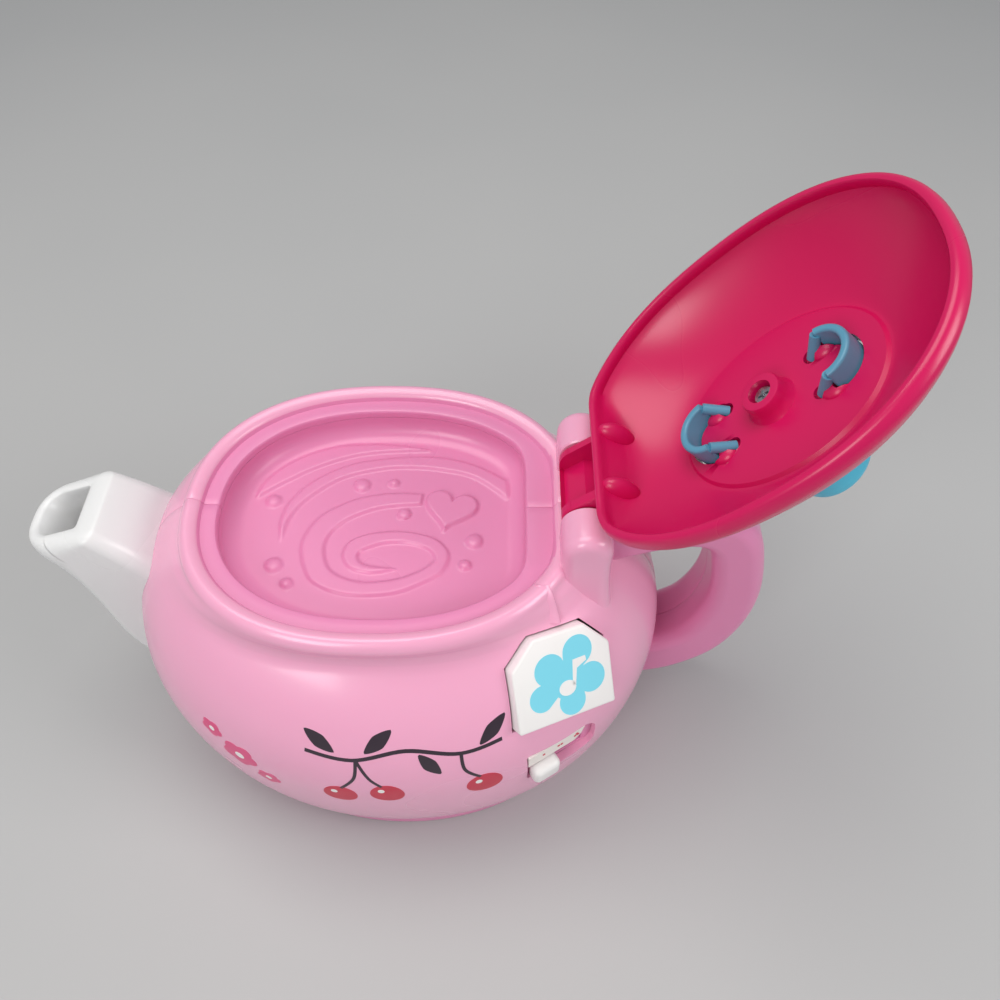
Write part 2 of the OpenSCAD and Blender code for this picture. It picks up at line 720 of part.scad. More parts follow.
// Tea tray: a dish hung by its flange in the slot under the ledge, with a raised swirl
tray_floor_z = ledge_z - tray_depth;
function oval_outline(r) = [for (i = [0 : 2 * half_steps - 1])
    let(p = oval_point(r, 180 * i / half_steps)) [p[0], p[1]]];
module tray_plate(grow, flat, soft, z, h) {
    translate([0, 0, z]) linear_extrude(h) polygon(oval_outline(rim_row(grow, 0, flat, soft)));
}
module band(points, w, h) {
    n = len(points);
    run = [for (i = [0 : n - 1]) unit(points[min(i + 1, n - 1)] - points[max(i - 1, 0)])];
    side = [for (d = run) [-d[1], d[0]]];
    left = [for (i = [0 : n - 1]) points[i] + side[i] * w / 2];
    right = [for (i = [n - 1 : -1 : 0]) points[i] - side[i] * w / 2];
    linear_extrude(h) polygon(concat(left, right));
}
function swirl(a0, a1, r0, r1, n) = [for (i = [0 : n]) let(a = mix(a0, a1, i / n), r = mix(r0, r1, i / n))
    [r * cos(a), 0.8 * r * sin(a)]];
function heart(w) = [for (i = [0 : 35]) let(t = 10 * i)
    w / 32 * [16 * pow(sin(t), 3), 13 * cos(t) - 5 * cos(2 * t) - 2 * cos(3 * t) - cos(4 * t)]];
bubbles = [[-36, 8, 1.6], [-11, 14, 1.9], [-1.5, 15, 1.3], [2, 4, 1.6], [22, -5, 1.9], [20, -13, 1.6],
    [-32, -13, 2.1], [-27.5, -19, 1.5]];
module tea_tray() {
    wall_grow = -ledge_w - seat_gap;
    wall_flat = tray_flat_x - seat_gap;
    color(deep_pink) {
        difference() {
            union() {
                tray_plate(flange_grow, rim_flat_x + flange_grow, corner_soft, slot_z + seat_gap, tray_t);
                tray_plate(wall_grow, wall_flat, tray_soft, tray_floor_z - tray_t,
                    flange_z - tray_floor_z + tray_t);
            }
            tray_plate(wall_grow - tray_t, wall_flat - tray_t, tray_soft, tray_floor_z, tray_depth);
        }
        translate([0, 0, tray_floor_z - eps]) {
            for (b = bubbles) {
                translate([b[0], b[1], 0]) cylinder(r1 = b[2] + 0.3, r2 = b[2] - 0.5, h = relief_h);
            }
            translate([15.3, 5.5, 0]) rotate(-12) linear_extrude(relief_h + 0.4) polygon(heart(15));
            translate([-3, -11, 0]) band(swirl(-70, 620, 2.2, 21, 40), 1.2, relief_h);
            translate([-3, -11, 0]) band(swirl(300, 480, 21.5, 27.5, 16), 1.2, relief_h);
        }
    }
}

// Base: foot ring, floor, battery box, speaker seat and screw posts in one moulding
module base_oval(inset, z, h) {
    row = [foot_a + base_proud - inset, foot_b + base_proud - inset, 0, belly_n, 0, far, 1];
    translate([0, 0, z]) linear_extrude(h) polygon(oval_outline(row));
}
module base_lip() {
    lip_in = wall + base_proud + seat_gap;
    difference() {
        base_oval(lip_in, foot_z - 1, base_lip_h + 1);
        base_oval(lip_in + base_lip_t, foot_z - 2, base_lip_h + 3);
        at_base_screws(foot_z - 0.5) cylinder(r = post_r + 2, h = base_lip_h + 1);
    }
}
module at_base_screws(z) {
    for (x = [-1, 1] * base_screw_x, y = [-1, 1] * base_screw_y) {
        translate([x, y, z]) children();
    }
}
module at_board_screws(z) {
    for (x = [-1, 1] * board_screw[0], y = [-1, 1] * board_screw[1]) {
        translate([board_x + x, y, z]) children();
    }
}
module at_clamp_screws(z) {
    for (a = clamp_angles) {
        translate([speaker_x, 0, z]) rotate(a) translate([clamp_screw_r, 0, 0]) children();
    }
}
function grille() = concat([[0, 0]], [for (k = [1 : 2], i = [0 : 6 * k - 1]) let(a = i * 60 / k)
    grille_pitch * k * [cos(a), sin(a)]]);
module box_plan(grow_x, grow_y, z, h) {
    translate([box_x, 0, 0]) block([2 * (box_in_x + grow_x), 2 * (box_in_y + grow_y), h], z);
}
module door_outline(gap, z, h) {
    box_plan(door_lap - gap, door_lap - gap, z, h);
    translate([lug_x, 0, 0]) block([2 * lug_w - 2 * gap, 2 * lug_w - 2 * gap, h], z);
}
module base() {
    color(deep_pink) difference() {
        union() {
            difference() {
                base_oval(0, 0, foot_z);
                base_oval(base_in, floor_top, foot_z);
                base_oval(foot_w, -eps, floor_z + eps);
            }
            base_lip();
            box_plan(box_wall, box_wall, floor_top - eps, roof_z - floor_top + eps);
            at_base_screws(floor_z) cylinder(r = post_r + 0.6, h = foot_z - floor_z);
            translate([lug_x, 0, floor_z + eps]) cylinder(r = post_r, h = door_post_h);
            at_clamp_screws(floor_top - eps) cylinder(r = small_post_r, h = speaker_rim_t + eps);
            at_board_screws(roof_z - eps) cylinder(r = small_post_r, h = board_z - roof_z + eps);
        }
        box_plan(0, 0, -eps, box_top + eps);
        door_outline(-seat_gap, -eps, door_z + door_t + eps);
        translate([lug_x, 0, 0]) cylinder(r = tap_r, h = door_post_h);
        at_base_screws(-1) cylinder(r = through_r, h = foot_z + 2);
        at_base_screws(-1) cylinder(r = head_hole_r, h = 1 + foot_z / 2);
        for (g = grille()) {
            translate([speaker_x + g[0], g[1], 0]) cylinder(r = grille_r, h = floor_top + 1);
        }
        at_clamp_screws(floor_z + 1) cylinder(r = tap_r, h = cut_h);
        at_board_screws(roof_z - box_wall / 2) cylinder(r = tap_r, h = cut_h);
    }
}
module base_screws() {
    color(steel) at_base_screws(foot_z / 2) screw(foot_z / 2 + base_screw_grip);
}
module battery_door() {
    color(deep_pink) difference() {
        door_outline(0, door_z, door_t);
        translate([lug_x, 0, 0]) cylinder(r = through_r, h = 9);
        for (i = [-3 : 3]) {
            translate([box_x + 4 * i, 0, 0]) block([1.4, 18, door_z + 0.6], 0);
        }
    }
}
module battery_door_screw() {
    color(steel) translate([lug_x, 0, door_z]) screw(8);
}

// Power: AA cells side by side, with coil springs at one end and contact plates at the other
module cell_frame(i) {
    flip = i % 2 == 0 ? 0 : 180;
    translate([box_x + (i - 1) * cell_pitch, 0, cell_z]) rotate(flip) rotate([-90, 0, 0]) children();
}
module battery(i) {
    color(i % 2 == 0 ? copper_wrap : black) cell_frame(i) {
        translate([0, 0, -cell_l / 2]) cylinder(r = cell_r, h = cell_l);
        translate([0, 0, cell_l / 2 - eps]) cylinder(r = tip_r, h = tip_l + eps);
    }
}
module battery_1() {
    battery(0);
}
module battery_2() {
    battery(1);
}
module battery_3() {
    battery(2);
}
module battery_springs() {
    free = box_in_y - cell_l / 2 - plate_t;
    step = (free + spring_sink - spring_wire) / (spring_turns - 1);
    color(steel) for (i = [0 : cells - 1]) {
        cell_frame(i) translate([0, 0, -cell_l / 2]) {
            for (k = [0 : spring_turns - 1]) {
                r = spring_r + k * spring_wire;
                translate([0, 0, -spring_wire - k * step]) tube(r, r - spring_wire, spring_wire);
            }
            block([spring_wire, 2 * spring_r, free - spring_sink], -free);
            translate([0, 0, -free - plate_t]) cylinder(r = spring_r + 1.6, h = plate_t);
        }
    }
}
module battery_contacts() {
    lug = box_in_y - cell_l / 2 - tip_l - plate_t;
    color(brass) for (i = [0 : cells - 1]) {
        cell_frame(i) {
            translate([0, 0, cell_l / 2 + tip_l]) cylinder(r1 = 2, r2 = 3.4, h = lug);
            translate([0, 0, box_in_y - plate_t]) block([9, 10, plate_t], 0);
        }
    }
}

// Loudspeaker under the floor grille
module at_speaker(z) {
    translate([speaker_x, 0, z]) children();
}
module speaker_frame() {
    color(black) at_speaker(floor_top) difference() {
        union() {
            cylinder(r = speaker_r, h = speaker_rim_t);
            translate([0, 0, speaker_rim_t - eps]) cylinder(r1 = speaker_r - 3, r2 = 12, h = 6 + eps);
        }
        translate([0, 0, -eps]) cylinder(r = speaker_r - 3, h = 1.2);
        translate([0, 0, 1.2 - 2 * eps]) cylinder(r1 = speaker_r - 4, r2 = 10.4, h = speaker_rim_t + 5 - 1.2);
        cylinder(r = 9, h = 20);
    }
}
module speaker_cone() {
    color([0.25, 0.25, 0.27]) at_speaker(floor_top + 0.6) difference() {
        union() {
            cylinder(r = speaker_r - 3.2, h = 0.5);
            translate([0, 0, 0.4]) cylinder(r1 = speaker_r - 5, r2 = 7.5, h = 4.6);
        }
        translate([0, 0, -eps]) cylinder(r1 = speaker_r - 5.6, r2 = 6.6, h = 4.4);
    }
}
module speaker_magnet() {
    color(steel) at_speaker(floor_top + speaker_rim_t + 6) {
        cylinder(r = 12, h = 1.2);
        translate([0, 0, 1.2 - eps]) cylinder(r = 10.5, h = 5 + eps);
    }
}
module speaker_clamp() {
    clamp_z = floor_top + speaker_rim_t;
    arm = clamp_screw_r - speaker_r + 2;
    color(milk) difference() {
        union() {
            at_speaker(clamp_z) cylinder(r = speaker_r, h = clamp_t);
            at_clamp_screws(clamp_z) cylinder(r = small_post_r + 0.3, h = clamp_t);
            at_clamp_screws(clamp_z) translate([-arm, -2, 0]) cube([arm, 4, clamp_t]);
        }
        at_speaker(clamp_z - eps) cylinder(r = speaker_r - 2.6, h = clamp_t + 1);
        at_clamp_screws(clamp_z - eps) cylinder(r = through_r, h = clamp_t + 1);
    }
}
module speaker_screws() {
    color(steel) at_clamp_screws(floor_top + speaker_rim_t + clamp_t) mirror([0, 0, 1]) screw(clamp_screw_l);
}

// Circuit board on four posts of the battery box, with the sound chip and a tilt sensor
module circuit_board() {
    color(board_green) difference() {
        translate([board_x, 0, 0]) block([board_l, board_d, board_t], board_z);
        at_board_screws(board_z - eps) cylinder(r = through_r, h = board_t + 1);
    }
}
module sound_chip() {
    color(black) translate([board_x - 6, 4, board_z + board_t]) intersection() {
        translate([0, 0, -5]) sphere(r = 8.5);
        cylinder(r = 8, h = 6);
    }
}
module board_parts() {
    top = board_z + board_t;
    color(black) {
        for (x = [6, 13]) {
            translate([board_x + x, 15, top]) cylinder(r = 2.6, h = 8);
        }
        translate([board_x + 10, 4, top]) block([5, 8, 2], 0);
    }
    color(milk) for (y = [-8, 4]) {
        translate([board_x + 17, y, top]) block([5, 7, 6], 0);
    }
}
module board_screws() {
    color(steel) at_board_screws(board_z + board_t) mirror([0, 0, 1]) screw(board_screw_l);
}
module at_tilt() {
    translate([board_x - 2, -14, board_z + board_t + can_r]) rotate([0, 90, 0]) children();
}
module tilt_can() {
    color(steel) at_tilt() translate([0, 0, -can_l / 2]) difference() {
        cylinder(r = can_r, h = can_l);
        translate([0, 0, can_wall]) cylinder(r = can_r - can_wall, h = can_l - 2 * can_wall);
    }
}
module tilt_ball() {
    color(brass) at_tilt() translate([0, 0, -tilt_free / 2]) sphere(r = ball_r);
}

// Tag button: a tea-bag tag on the shoulder, held by a flange and lifted by a rubber dome
module tag_outline(grow) {
    w = tag_w / 2 + grow;
    h = tag_h / 2 + grow;
    c = tag_cut;
    polygon([[-w, -h], [w, -h], [w, h - c], [w - c, h], [c - w, h], [-w, h - c]]);
}
module tag_button() {
    color(milk) face_at(tag_pos, tag_az, tag_el, tag_spin) {
        translate([0, 0, tag_flange_z - eps]) linear_extrude(tag_proud - tag_flange_z + eps) tag_outline(0);
        translate([0, 0, tag_flange_z - tag_flange_t]) linear_extrude(tag_flange_t) tag_outline(tag_lap);
        translate([0, 0, tag_flange_z - tag_flange_t - tag_plunger[1]])
            cylinder(r = tag_plunger[0], h = tag_plunger[1] + eps);
    }
}
module tag_spring() {
    foot_r = tag_plunger[0] + 2 * tag_dome_wall;
    color("dimgray") face_at(tag_pos, tag_az, tag_el, tag_spin)
        translate([0, 0, tag_board_z]) difference() {
            union() {
                cylinder(r = foot_r + 1, h = tag_dome_wall);
                cylinder(r1 = foot_r, r2 = tag_plunger[0], h = tag_dome_h);
            }
            translate([0, 0, -eps]) cylinder(r1 = foot_r - tag_dome_wall, r2 = tag_plunger[0] - tag_dome_wall,
                h = tag_dome_h - 1);
        }
}
module tag_switch_board() {
    color(board_green) face_at(tag_pos, tag_az, tag_el, tag_spin) difference() {
        block([2 * tag_post_x + 2 * post_r, 12, board_t], tag_board_z - board_t);
        for (x = [-1, 1] * tag_post_x) {
            translate([x, 0, tag_board_z - 3]) cylinder(r = through_r, h = 5);
        }
    }
}
module tag_posts() {
    for (x = [-1, 1] * tag_post_x) {
        translate([x, 0, tag_board_z]) post(tag_post_r, cut_h);
    }
}
module tag_post_bores() {
    for (x = [-1, 1] * tag_post_x) {
        translate([x, 0, tag_board_z - eps]) cylinder(r = tap_r, h = switch_bore);
    }
}

// Slide switches: a plate in a window of the shell, a knob that runs in its slot, a switch behind.
// The plate's legs stand on the switch board and hold the plate against the shell.
function slide_window(travel) = travel + slide_edge * 2;
function stage_window() = slide_window(stage_travel);
function power_window() = slide_window(power_travel);
function slide_post_x(travel) = slide_window(travel) / 2 + slide_post;
module slide_plate(travel) {
    w = slide_window(travel);
    slot = slide_stem + 2 * slide_gap;
    difference() {
        union() {
            block([w + 2 * slide_lap, slide_h + 2 * slide_lap, slide_lap], slide_plate_z);
            block([w, slide_h, slide_face_z - slide_plate_z], slide_plate_z);
        }
        translate([0, slide_slot_y, 0]) block([travel + slot, slot, cut_h], slide_plate_z - eps);
    }
    for (x = [-1, 1] * (w + slide_lap) / 2) {
        translate([x, 0, 0])
            block([slide_lap, slide_board_h - 1, slide_plate_z - slide_switch_z + eps], slide_switch_z);
    }
}
module slide_knob(travel) {
    translate([-travel / 2, slide_slot_y, 0]) {
        block([slide_stem, slide_stem, slide_face_z + 1 - slide_catch_z], slide_catch_z);
        block([slide_knob_w, slide_knob_h, slide_knob_t], slide_face_z + slide_gap);
        block([2 * slide_stem, 2 * slide_stem, slide_lap], slide_catch_z);
        block([slide_pin, slide_pin, slide_case[2]], slide_catch_z + eps - slide_case[2]);
    }
}
module slide_switch(travel) {
    slot = slide_pin + 2 * slide_gap;
    difference() {
        union() {
            block([2 * slide_post_x(travel) + 5, slide_board_h, board_t], slide_switch_z - board_t);
            translate([0, slide_slot_y, 0])
                block([travel + slide_case[0], slide_case[1], slide_case[2]], slide_switch_z - eps);
        }
        translate([0, slide_slot_y, 0]) block([travel + slot, slot, cut_h], slide_switch_z);
        for (x = [-1, 1] * slide_post_x(travel)) {
            translate([x, 0, slide_switch_z - board_t - 1]) cylinder(r = through_r, h = board_t + 2);
        }
    }
}
module slide_posts(travel) {
    for (x = [-1, 1] * slide_post_x(travel)) {
        translate([x, 0, slide_switch_z]) post(slide_post_r, cut_h);
    }
}
module slide_post_bores(travel) {
    for (x = [-1, 1] * slide_post_x(travel)) {
        translate([x, 0, slide_switch_z - eps]) cylinder(r = tap_r, h = switch_bore);
    }
}
module stage_plate() {
    color(deep_pink) face_at(stage_pos, stage_az) slide_plate(stage_travel);
}
module stage_slider() {
    color(milk) face_at(stage_pos, stage_az) slide_knob(stage_travel);
}
module stage_switch() {
    color(board_green) face_at(stage_pos, stage_az) slide_switch(stage_travel);
}
module power_plate() {
    color(deep_pink) face_at(power_pos, power_az) slide_plate(power_travel);
}
module power_slider() {
    color(milk) face_at(power_pos, power_az) slide_knob(power_travel);
}
module power_switch() {
    color(board_green) face_at(power_pos, power_az) slide_switch(power_travel);
}
module switch_screws() {
    color(steel) {
        face_at(tag_pos, tag_az, tag_el, tag_spin) for (x = [-1, 1] * tag_post_x) {
            translate([x, 0, tag_board_z - board_t]) screw(switch_screw_l);
        }
        face_at(stage_pos, stage_az) for (x = [-1, 1] * slide_post_x(stage_travel)) {
            translate([x, 0, slide_switch_z - board_t]) screw(switch_screw_l);
        }
        face_at(power_pos, power_az) for (x = [-1, 1] * slide_post_x(power_travel)) {
            translate([x, 0, slide_switch_z - board_t]) screw(switch_screw_l);
        }
        at_lamp_screws() translate([0, 0, board_t]) mirror([0, 0, 1]) screw(switch_screw_l);
    }
}

// Lid, modelled shut and turned open about the hinge pin
module opened() {
    translate([hinge_x, 0, hinge_z]) rotate([0, lid_open, 0]) translate([-hinge_x, 0, -hinge_z]) children();
}
function lid_share(s) = pow(1 - pow(s, lid_curve), 1 / lid_curve);
function lid_row(z, d) = let(s = lid_share(min(1, max(0, (z - lid_wide_z) / (lid_top_z - d - lid_wide_z)))))
    [mix(lid_top_a, rim_a + lid_over, s) - d, mix(lid_top_a * rim_b / rim_a, rim_b + lid_over, s) - d, rim_x,
        mix(2.05, rim_n, s), z, lid_flat_x - d - (z - lid_wide_z) * 0.3, corner_soft];
module lid_dome(d, rim) {
    zs = [for (i = [0 : lid_rows_n]) mix(lid_wide_z, lid_top_z - d, sin(90 * i / lid_rows_n))];
    fan_skin(concat(rim, [for (z = zs) oval_ring(lid_row(z, d))]));
}
module lid_shell() {
    foot = oval_ring(rim_row(-0.8, lid_z, lid_flat_x - 1));
    heel = oval_ring(rim_row(0.2, lid_z + 1.4, lid_flat_x - 0.4));
    open_end = oval_ring(rim_row(-lid_wall, lid_z - 2, lid_flat_x - 1 - lid_wall));
    difference() {
        lid_dome(0, [foot, heel]);
        lid_dome(lid_wall, [open_end]);
    }
}
module lid_block() {
    root_x = lid_flat_x - 4;
    low_z = hinge_z - 4;
    translate([0, -lid_block_y, 0]) along_y(hinge_x, hinge_z) cylinder(r = lid_block_r, h = 2 * lid_block_y);
    translate([root_x, -lid_block_y, low_z])
        cube([hinge_x - root_x, 2 * lid_block_y, hinge_z + lid_block_r - low_z]);
}
// Hollow under the hinge block, open towards the ledge
module lid_pocket() {
    half = lid_block_y - lid_wall;
    floor_h = knuckle_r + 1;
    translate([hinge_x - lid_pocket_l, -half, hinge_z - floor_h])
        cube([lid_pocket_l + lid_block_r - lid_wall, 2 * half, floor_h + lid_block_r - lid_wall]);
}
module lid() {
    color(magenta) opened() difference() {
        union() {
            lid_shell();
            difference() {
                lid_block();
                lid_dome(lid_wall, []);
            }
            translate([boss_x, 0, lid_in_z - boss_h]) cylinder(r = boss_r, h = boss_h + eps);
            for (y = [-1, 1] * lid_gusset_y) {
                translate([lid_flat_x - 9, y - lid_gusset[1] / 2, lid_z + 6]) cube(lid_gusset);
            }
        }
        lid_pocket();
        translate([0, -lid_block_y - 1, 0]) along_y(hinge_x, hinge_z)
            cylinder(r = pin_r + bore_gap, h = 2 * lid_block_y + 2);
        translate([boss_x, 0, lid_in_z - boss_h - eps])
            cylinder(r = boss_bore_r, h = boss_h - head_seat + eps);
        translate([boss_x, 0, lid_in_z - boss_h]) cylinder(r = through_r, h = boss_h + lid_wall + 1);
        for (x = [-1, 1] * clip_x) {
            translate([boss_x + x, 0, 0]) block([clip_slot[0], clip_slot[1], 10], lid_in_z - 4);
        }
    }
}
module clip(side) {
    h = knob_z + 1 - clip_end_z;
    translate([boss_x + side * (clip_x - 3), 0, clip_end_z]) intersection() {
        tube(clip_r, clip_r - clip_t, h);
        translate([side > 0 ? 0.6 : -clip_r - 0.6, -clip_r, 0]) cube([clip_r, 2 * clip_r, h]);
    }
}
module at_petals(z) {
    for (i = [0 : petal_n - 1]) {
        translate([boss_x, 0, z]) rotate(180 + 360 * i / petal_n) translate([petal_pitch, 0, 0]) children();
    }
}
module lid_knob() {
    color(sky) opened() difference() {
        union() {
            translate([boss_x, 0, lid_top_z]) cylinder(r = petal_r - 0.5, h = knob_gap + 2);
            translate([0, 0, knob_z]) linear_extrude(petal_t) {
                translate([boss_x, 0]) circle(r = petal_pitch - 3);
                at_petals(0) circle(r = petal_r);
            }
            for (side = [-1, 1]) {
                clip(side);
            }
        }
        at_petals(knob_z + petal_t - petal_dish)
            cylinder(r1 = petal_r - 4.5, r2 = petal_r - 2, h = petal_dish + eps);
        translate([boss_x, 0, lid_top_z - eps]) cylinder(r = tap_r, h = knob_bore);
    }
}
module lid_knob_screw() {
    color(steel) opened() translate([boss_x, 0, lid_in_z - head_seat])
        screw(lid_wall + head_seat + knob_bore - 1);
}
module hinge_pin() {
    color(steel) translate([0, -knuckle_y1 + 0.5, 0]) along_y(hinge_x, hinge_z)
        cylinder(r = pin_r, h = 2 * knuckle_y1 - 1);
}

body_front();
body_back();
shell_screws();
spout();
spout_lamp_board();
spout_lamp();
handle_front();
handle_back();
handle_screws();
tea_tray();
base();
base_screws();
battery_door();
battery_door_screw();
battery_1();
battery_2();
battery_3();
battery_springs();
battery_contacts();
speaker_frame();
speaker_cone();
speaker_magnet();
speaker_clamp();
speaker_screws();
circuit_board();
sound_chip();
board_parts();
board_screws();
tilt_can();
tilt_ball();
tag_button();
tag_spring();
tag_switch_board();
stage_plate();
stage_slider();
stage_switch();
power_plate();
power_slider();
power_switch();
switch_screws();
hinge_pin();
lid();
lid_knob();
lid_knob_screw();
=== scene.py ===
import math

import bmesh
import bpy
import numpy as np
from mathutils import Matrix, Vector


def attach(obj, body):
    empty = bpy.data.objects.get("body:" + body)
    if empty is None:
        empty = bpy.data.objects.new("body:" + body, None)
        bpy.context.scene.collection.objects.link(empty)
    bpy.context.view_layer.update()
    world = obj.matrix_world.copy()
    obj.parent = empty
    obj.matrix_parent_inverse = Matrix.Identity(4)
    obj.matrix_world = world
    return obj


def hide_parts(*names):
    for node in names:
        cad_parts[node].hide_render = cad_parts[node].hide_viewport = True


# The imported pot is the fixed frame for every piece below.
# Lengths are written in millimetres and turned into metres by mm.
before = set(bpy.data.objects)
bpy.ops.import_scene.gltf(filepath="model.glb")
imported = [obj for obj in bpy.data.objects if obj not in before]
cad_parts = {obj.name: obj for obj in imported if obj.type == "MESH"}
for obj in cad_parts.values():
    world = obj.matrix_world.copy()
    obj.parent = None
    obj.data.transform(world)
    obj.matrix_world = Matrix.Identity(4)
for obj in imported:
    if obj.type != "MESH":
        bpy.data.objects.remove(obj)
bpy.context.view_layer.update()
mm = 0.001


# Table and studio: a plain pale table top under wide soft lamps.
# The camera stands before the table and looks down on the pot, with the open lid to the right.
def from_screen(red, green, blue):
    """Colour for a shader from the 0 to 255 values of a screen."""
    shares = [v / 255 for v in (red, green, blue)]
    return [v / 12.92 if v <= 0.04045 else ((v + 0.055) / 1.055) ** 2.4 for v in shares] + [1.0]


def new_material(name):
    material = bpy.data.materials.new(name)
    material.use_nodes = True
    return material, material.node_tree.nodes["Principled BSDF"]


def grain(material, scale, detail, stretch=(1, 1, 1)):
    """Noise over the piece's own coordinates."""
    tree = material.node_tree
    coordinates = tree.nodes.new("ShaderNodeTexCoord")
    mapping = tree.nodes.new("ShaderNodeMapping")
    mapping.inputs["Scale"].default_value = stretch
    noise = tree.nodes.new("ShaderNodeTexNoise")
    noise.inputs["Scale"].default_value = scale
    noise.inputs["Detail"].default_value = detail
    tree.links.new(coordinates.outputs["Object"], mapping.inputs["Vector"])
    tree.links.new(mapping.outputs["Vector"], noise.inputs["Vector"])
    return noise.outputs["Fac"]


def tint(material, factor, first, second, socket):
    """Runs a colour socket between two tones."""
    ramp = material.node_tree.nodes.new("ShaderNodeValToRGB")
    for stop, place, colour in zip(ramp.color_ramp.elements, (0.2, 0.8), (first, second)):
        stop.position = place
        stop.color = colour
    material.node_tree.links.new(factor, ramp.inputs["Fac"])
    material.node_tree.links.new(ramp.outputs["Color"], socket)


def vary(material, factor, low, high, socket):
    """Runs a number socket between two values."""
    spread = material.node_tree.nodes.new("ShaderNodeMapRange")
    for name, value in zip(("From Min", "From Max", "To Min", "To Max"), (0.2, 0.8, low, high)):
        spread.inputs[name].default_value = value
    material.node_tree.links.new(factor, spread.inputs["Value"])
    material.node_tree.links.new(spread.outputs["Result"], socket)


bpy.ops.object.select_all(action="DESELECT")
bpy.ops.mesh.primitive_plane_add(size=6.0, location=(0, 0, -0.3 * mm))
table_top = bpy.context.object
table_top.name = "table_top"
table_paint, shader = new_material("table_paint")
tint(table_paint, grain(table_paint, 3, 3), from_screen(176, 177, 177), from_screen(184, 184, 183),
     shader.inputs["Base Color"])
vary(table_paint, grain(table_paint, 9, 1), 0.55, 0.7, shader.inputs["Roughness"])
table_top.data.materials.append(table_paint)

sky = bpy.data.worlds.new("studio_room")
sky.use_nodes = True
sky.node_tree.nodes["Background"].inputs["Color"].default_value = (0.93, 0.95, 1.0, 1.0)
sky.node_tree.nodes["Background"].inputs["Strength"].default_value = 0.36
bpy.context.scene.world = sky
bpy.context.scene.view_settings.view_transform = "Standard"

lamp_aim = Vector((10, 0, 70)) * mm
lamps = {
    "overhead_lamp": ((-160, 80, 900), 620, 4.3, (1.0, 0.98, 0.95)),
    "front_lamp": ((-420, -760, 620), 420, 3.2, (1.0, 0.99, 0.97)),
    "side_lamp": ((760, -260, 560), 420, 3.0, (1.0, 0.99, 0.98)),
}
for lamp_name, (place, width, power, colour) in lamps.items():
    bpy.ops.object.light_add(type="AREA", location=Vector(place) * mm)
    lamp = bpy.context.object
    lamp.name = lamp_name
    lamp.rotation_euler = (lamp.location - lamp_aim).to_track_quat("Z", "Y").to_euler()
    lamp.data.size = width * mm
    lamp.data.energy = power
    lamp.data.color = colour

camera_place = Vector((29.9, -140.3, 279.2)) * mm
camera_turn, camera_drop, camera_roll = math.radians(0.217), math.radians(52.699), math.radians(0.351)
bpy.ops.object.camera_add()
camera = bpy.context.object
camera.name = "table_camera"
camera.data.sensor_width = 36.0
camera.data.lens = 30.87
camera.data.clip_start = 0.01
camera.matrix_world = (
    Matrix.Translation(camera_place)
    @ Matrix.Rotation(camera_turn, 4, "Z")
    @ Matrix.Rotation(math.pi / 2 - camera_drop, 4, "X")
    @ Matrix.Rotation(camera_roll, 4, "Z")
)
bpy.context.scene.camera = camera


# Body shells: the front and back halves of the belly, moulded in glossy pink plastic.
# They meet on the middle plane, where a fine seam shows across the lip and the ledge.
# Each half carries one barrel of the lid's hinge and has windows for the controls set into it.
belly_half, belly_z, belly_n = (78.0, 64.8), 47.0, 2.05
foot_half, foot_z = (64.6, 55.9), 10.0
crease_half, crease_z = (61.2, 44.2), 85.6
rim_half, rim_x, rim_n = (49.0, 39.4), -2.6, 2.28
rim_flat_x, tray_flat_x = 43.8, 36.4
ledge_z, ledge_width, lip_width, lip_height = 92.0, 4.4, 5.0, 2.6
shell_wall, corner_soft, tray_soft = 2.4, 2.4, 4.0
low_curve, shoulder_curve = 1.9, 2.15
shell_sides = 144


def mix(first, second, share):
    return tuple(a + (b - a) * share for a, b in zip(first, second))


def oval_row(half, centre_x, squareness, z, flat=None, soft=corner_soft):
    """One level of a moulding: half sizes, centre, squareness, height, flat side and its corner."""
    side = centre_x + half[0] + soft if flat is None else flat
    return (half[0], half[1], centre_x, squareness, z, side, soft)


def oval_point(row, turn):
    """Point on a level, for a share of the turn around it."""
    length, depth, centre_x, squareness, z, flat, soft = row
    c, s = math.cos(2 * math.pi * turn), math.sin(2 * math.pi * turn)
    x = centre_x + length * math.copysign(abs(c) ** (2 / squareness), c)
    y = depth * math.copysign(abs(s) ** (2 / squareness), s)
    if x > flat + soft:
        x = flat
    elif x > flat - soft:
        x = flat - (soft - x + flat) ** 2 / (4 * soft)
    return Vector((x, y, z)) * mm


def low_row(z):
    share = (1 - (1 - (z - foot_z) / (belly_z - foot_z)) ** low_curve) ** (1 / low_curve)
    return oval_row(mix(foot_half, belly_half, share), 0, belly_n, z)


def shoulder_row(z):
    share = ((z - belly_z) / (crease_z - belly_z)) ** shoulder_curve
    return oval_row(mix(belly_half, crease_half, share), rim_x * share,
                    belly_n + (rim_n - belly_n) * share, z)


def rim_row(grow, z, flat=None, soft=corner_soft):
    return oval_row((rim_half[0] + grow, rim_half[1] + grow), rim_x, rim_n, z, flat, soft)


def inset_row(row, depth):
    return (row[0] - depth, row[1] - depth, row[2], row[3], row[4], row[5] - depth, row[6])


def through(rows, steps):
    """Rows on a smooth curve through the given rows."""
    found = []
    for i in range(len(rows) - 1):
        a, b, c, d = (rows[min(max(k, 0), len(rows) - 1)] for k in (i - 1, i, i + 1, i + 2))
        for k in range(steps):
            t = k / steps
            found.append(tuple(
                0.5 * (2 * q + (r - p) * t + (2 * p - 5 * q + 4 * r - s) * t**2
                       + (3 * q - p - 3 * r + s) * t**3)
                for p, q, r, s in zip(a, b, c, d)))
    return found + [rows[-1]]


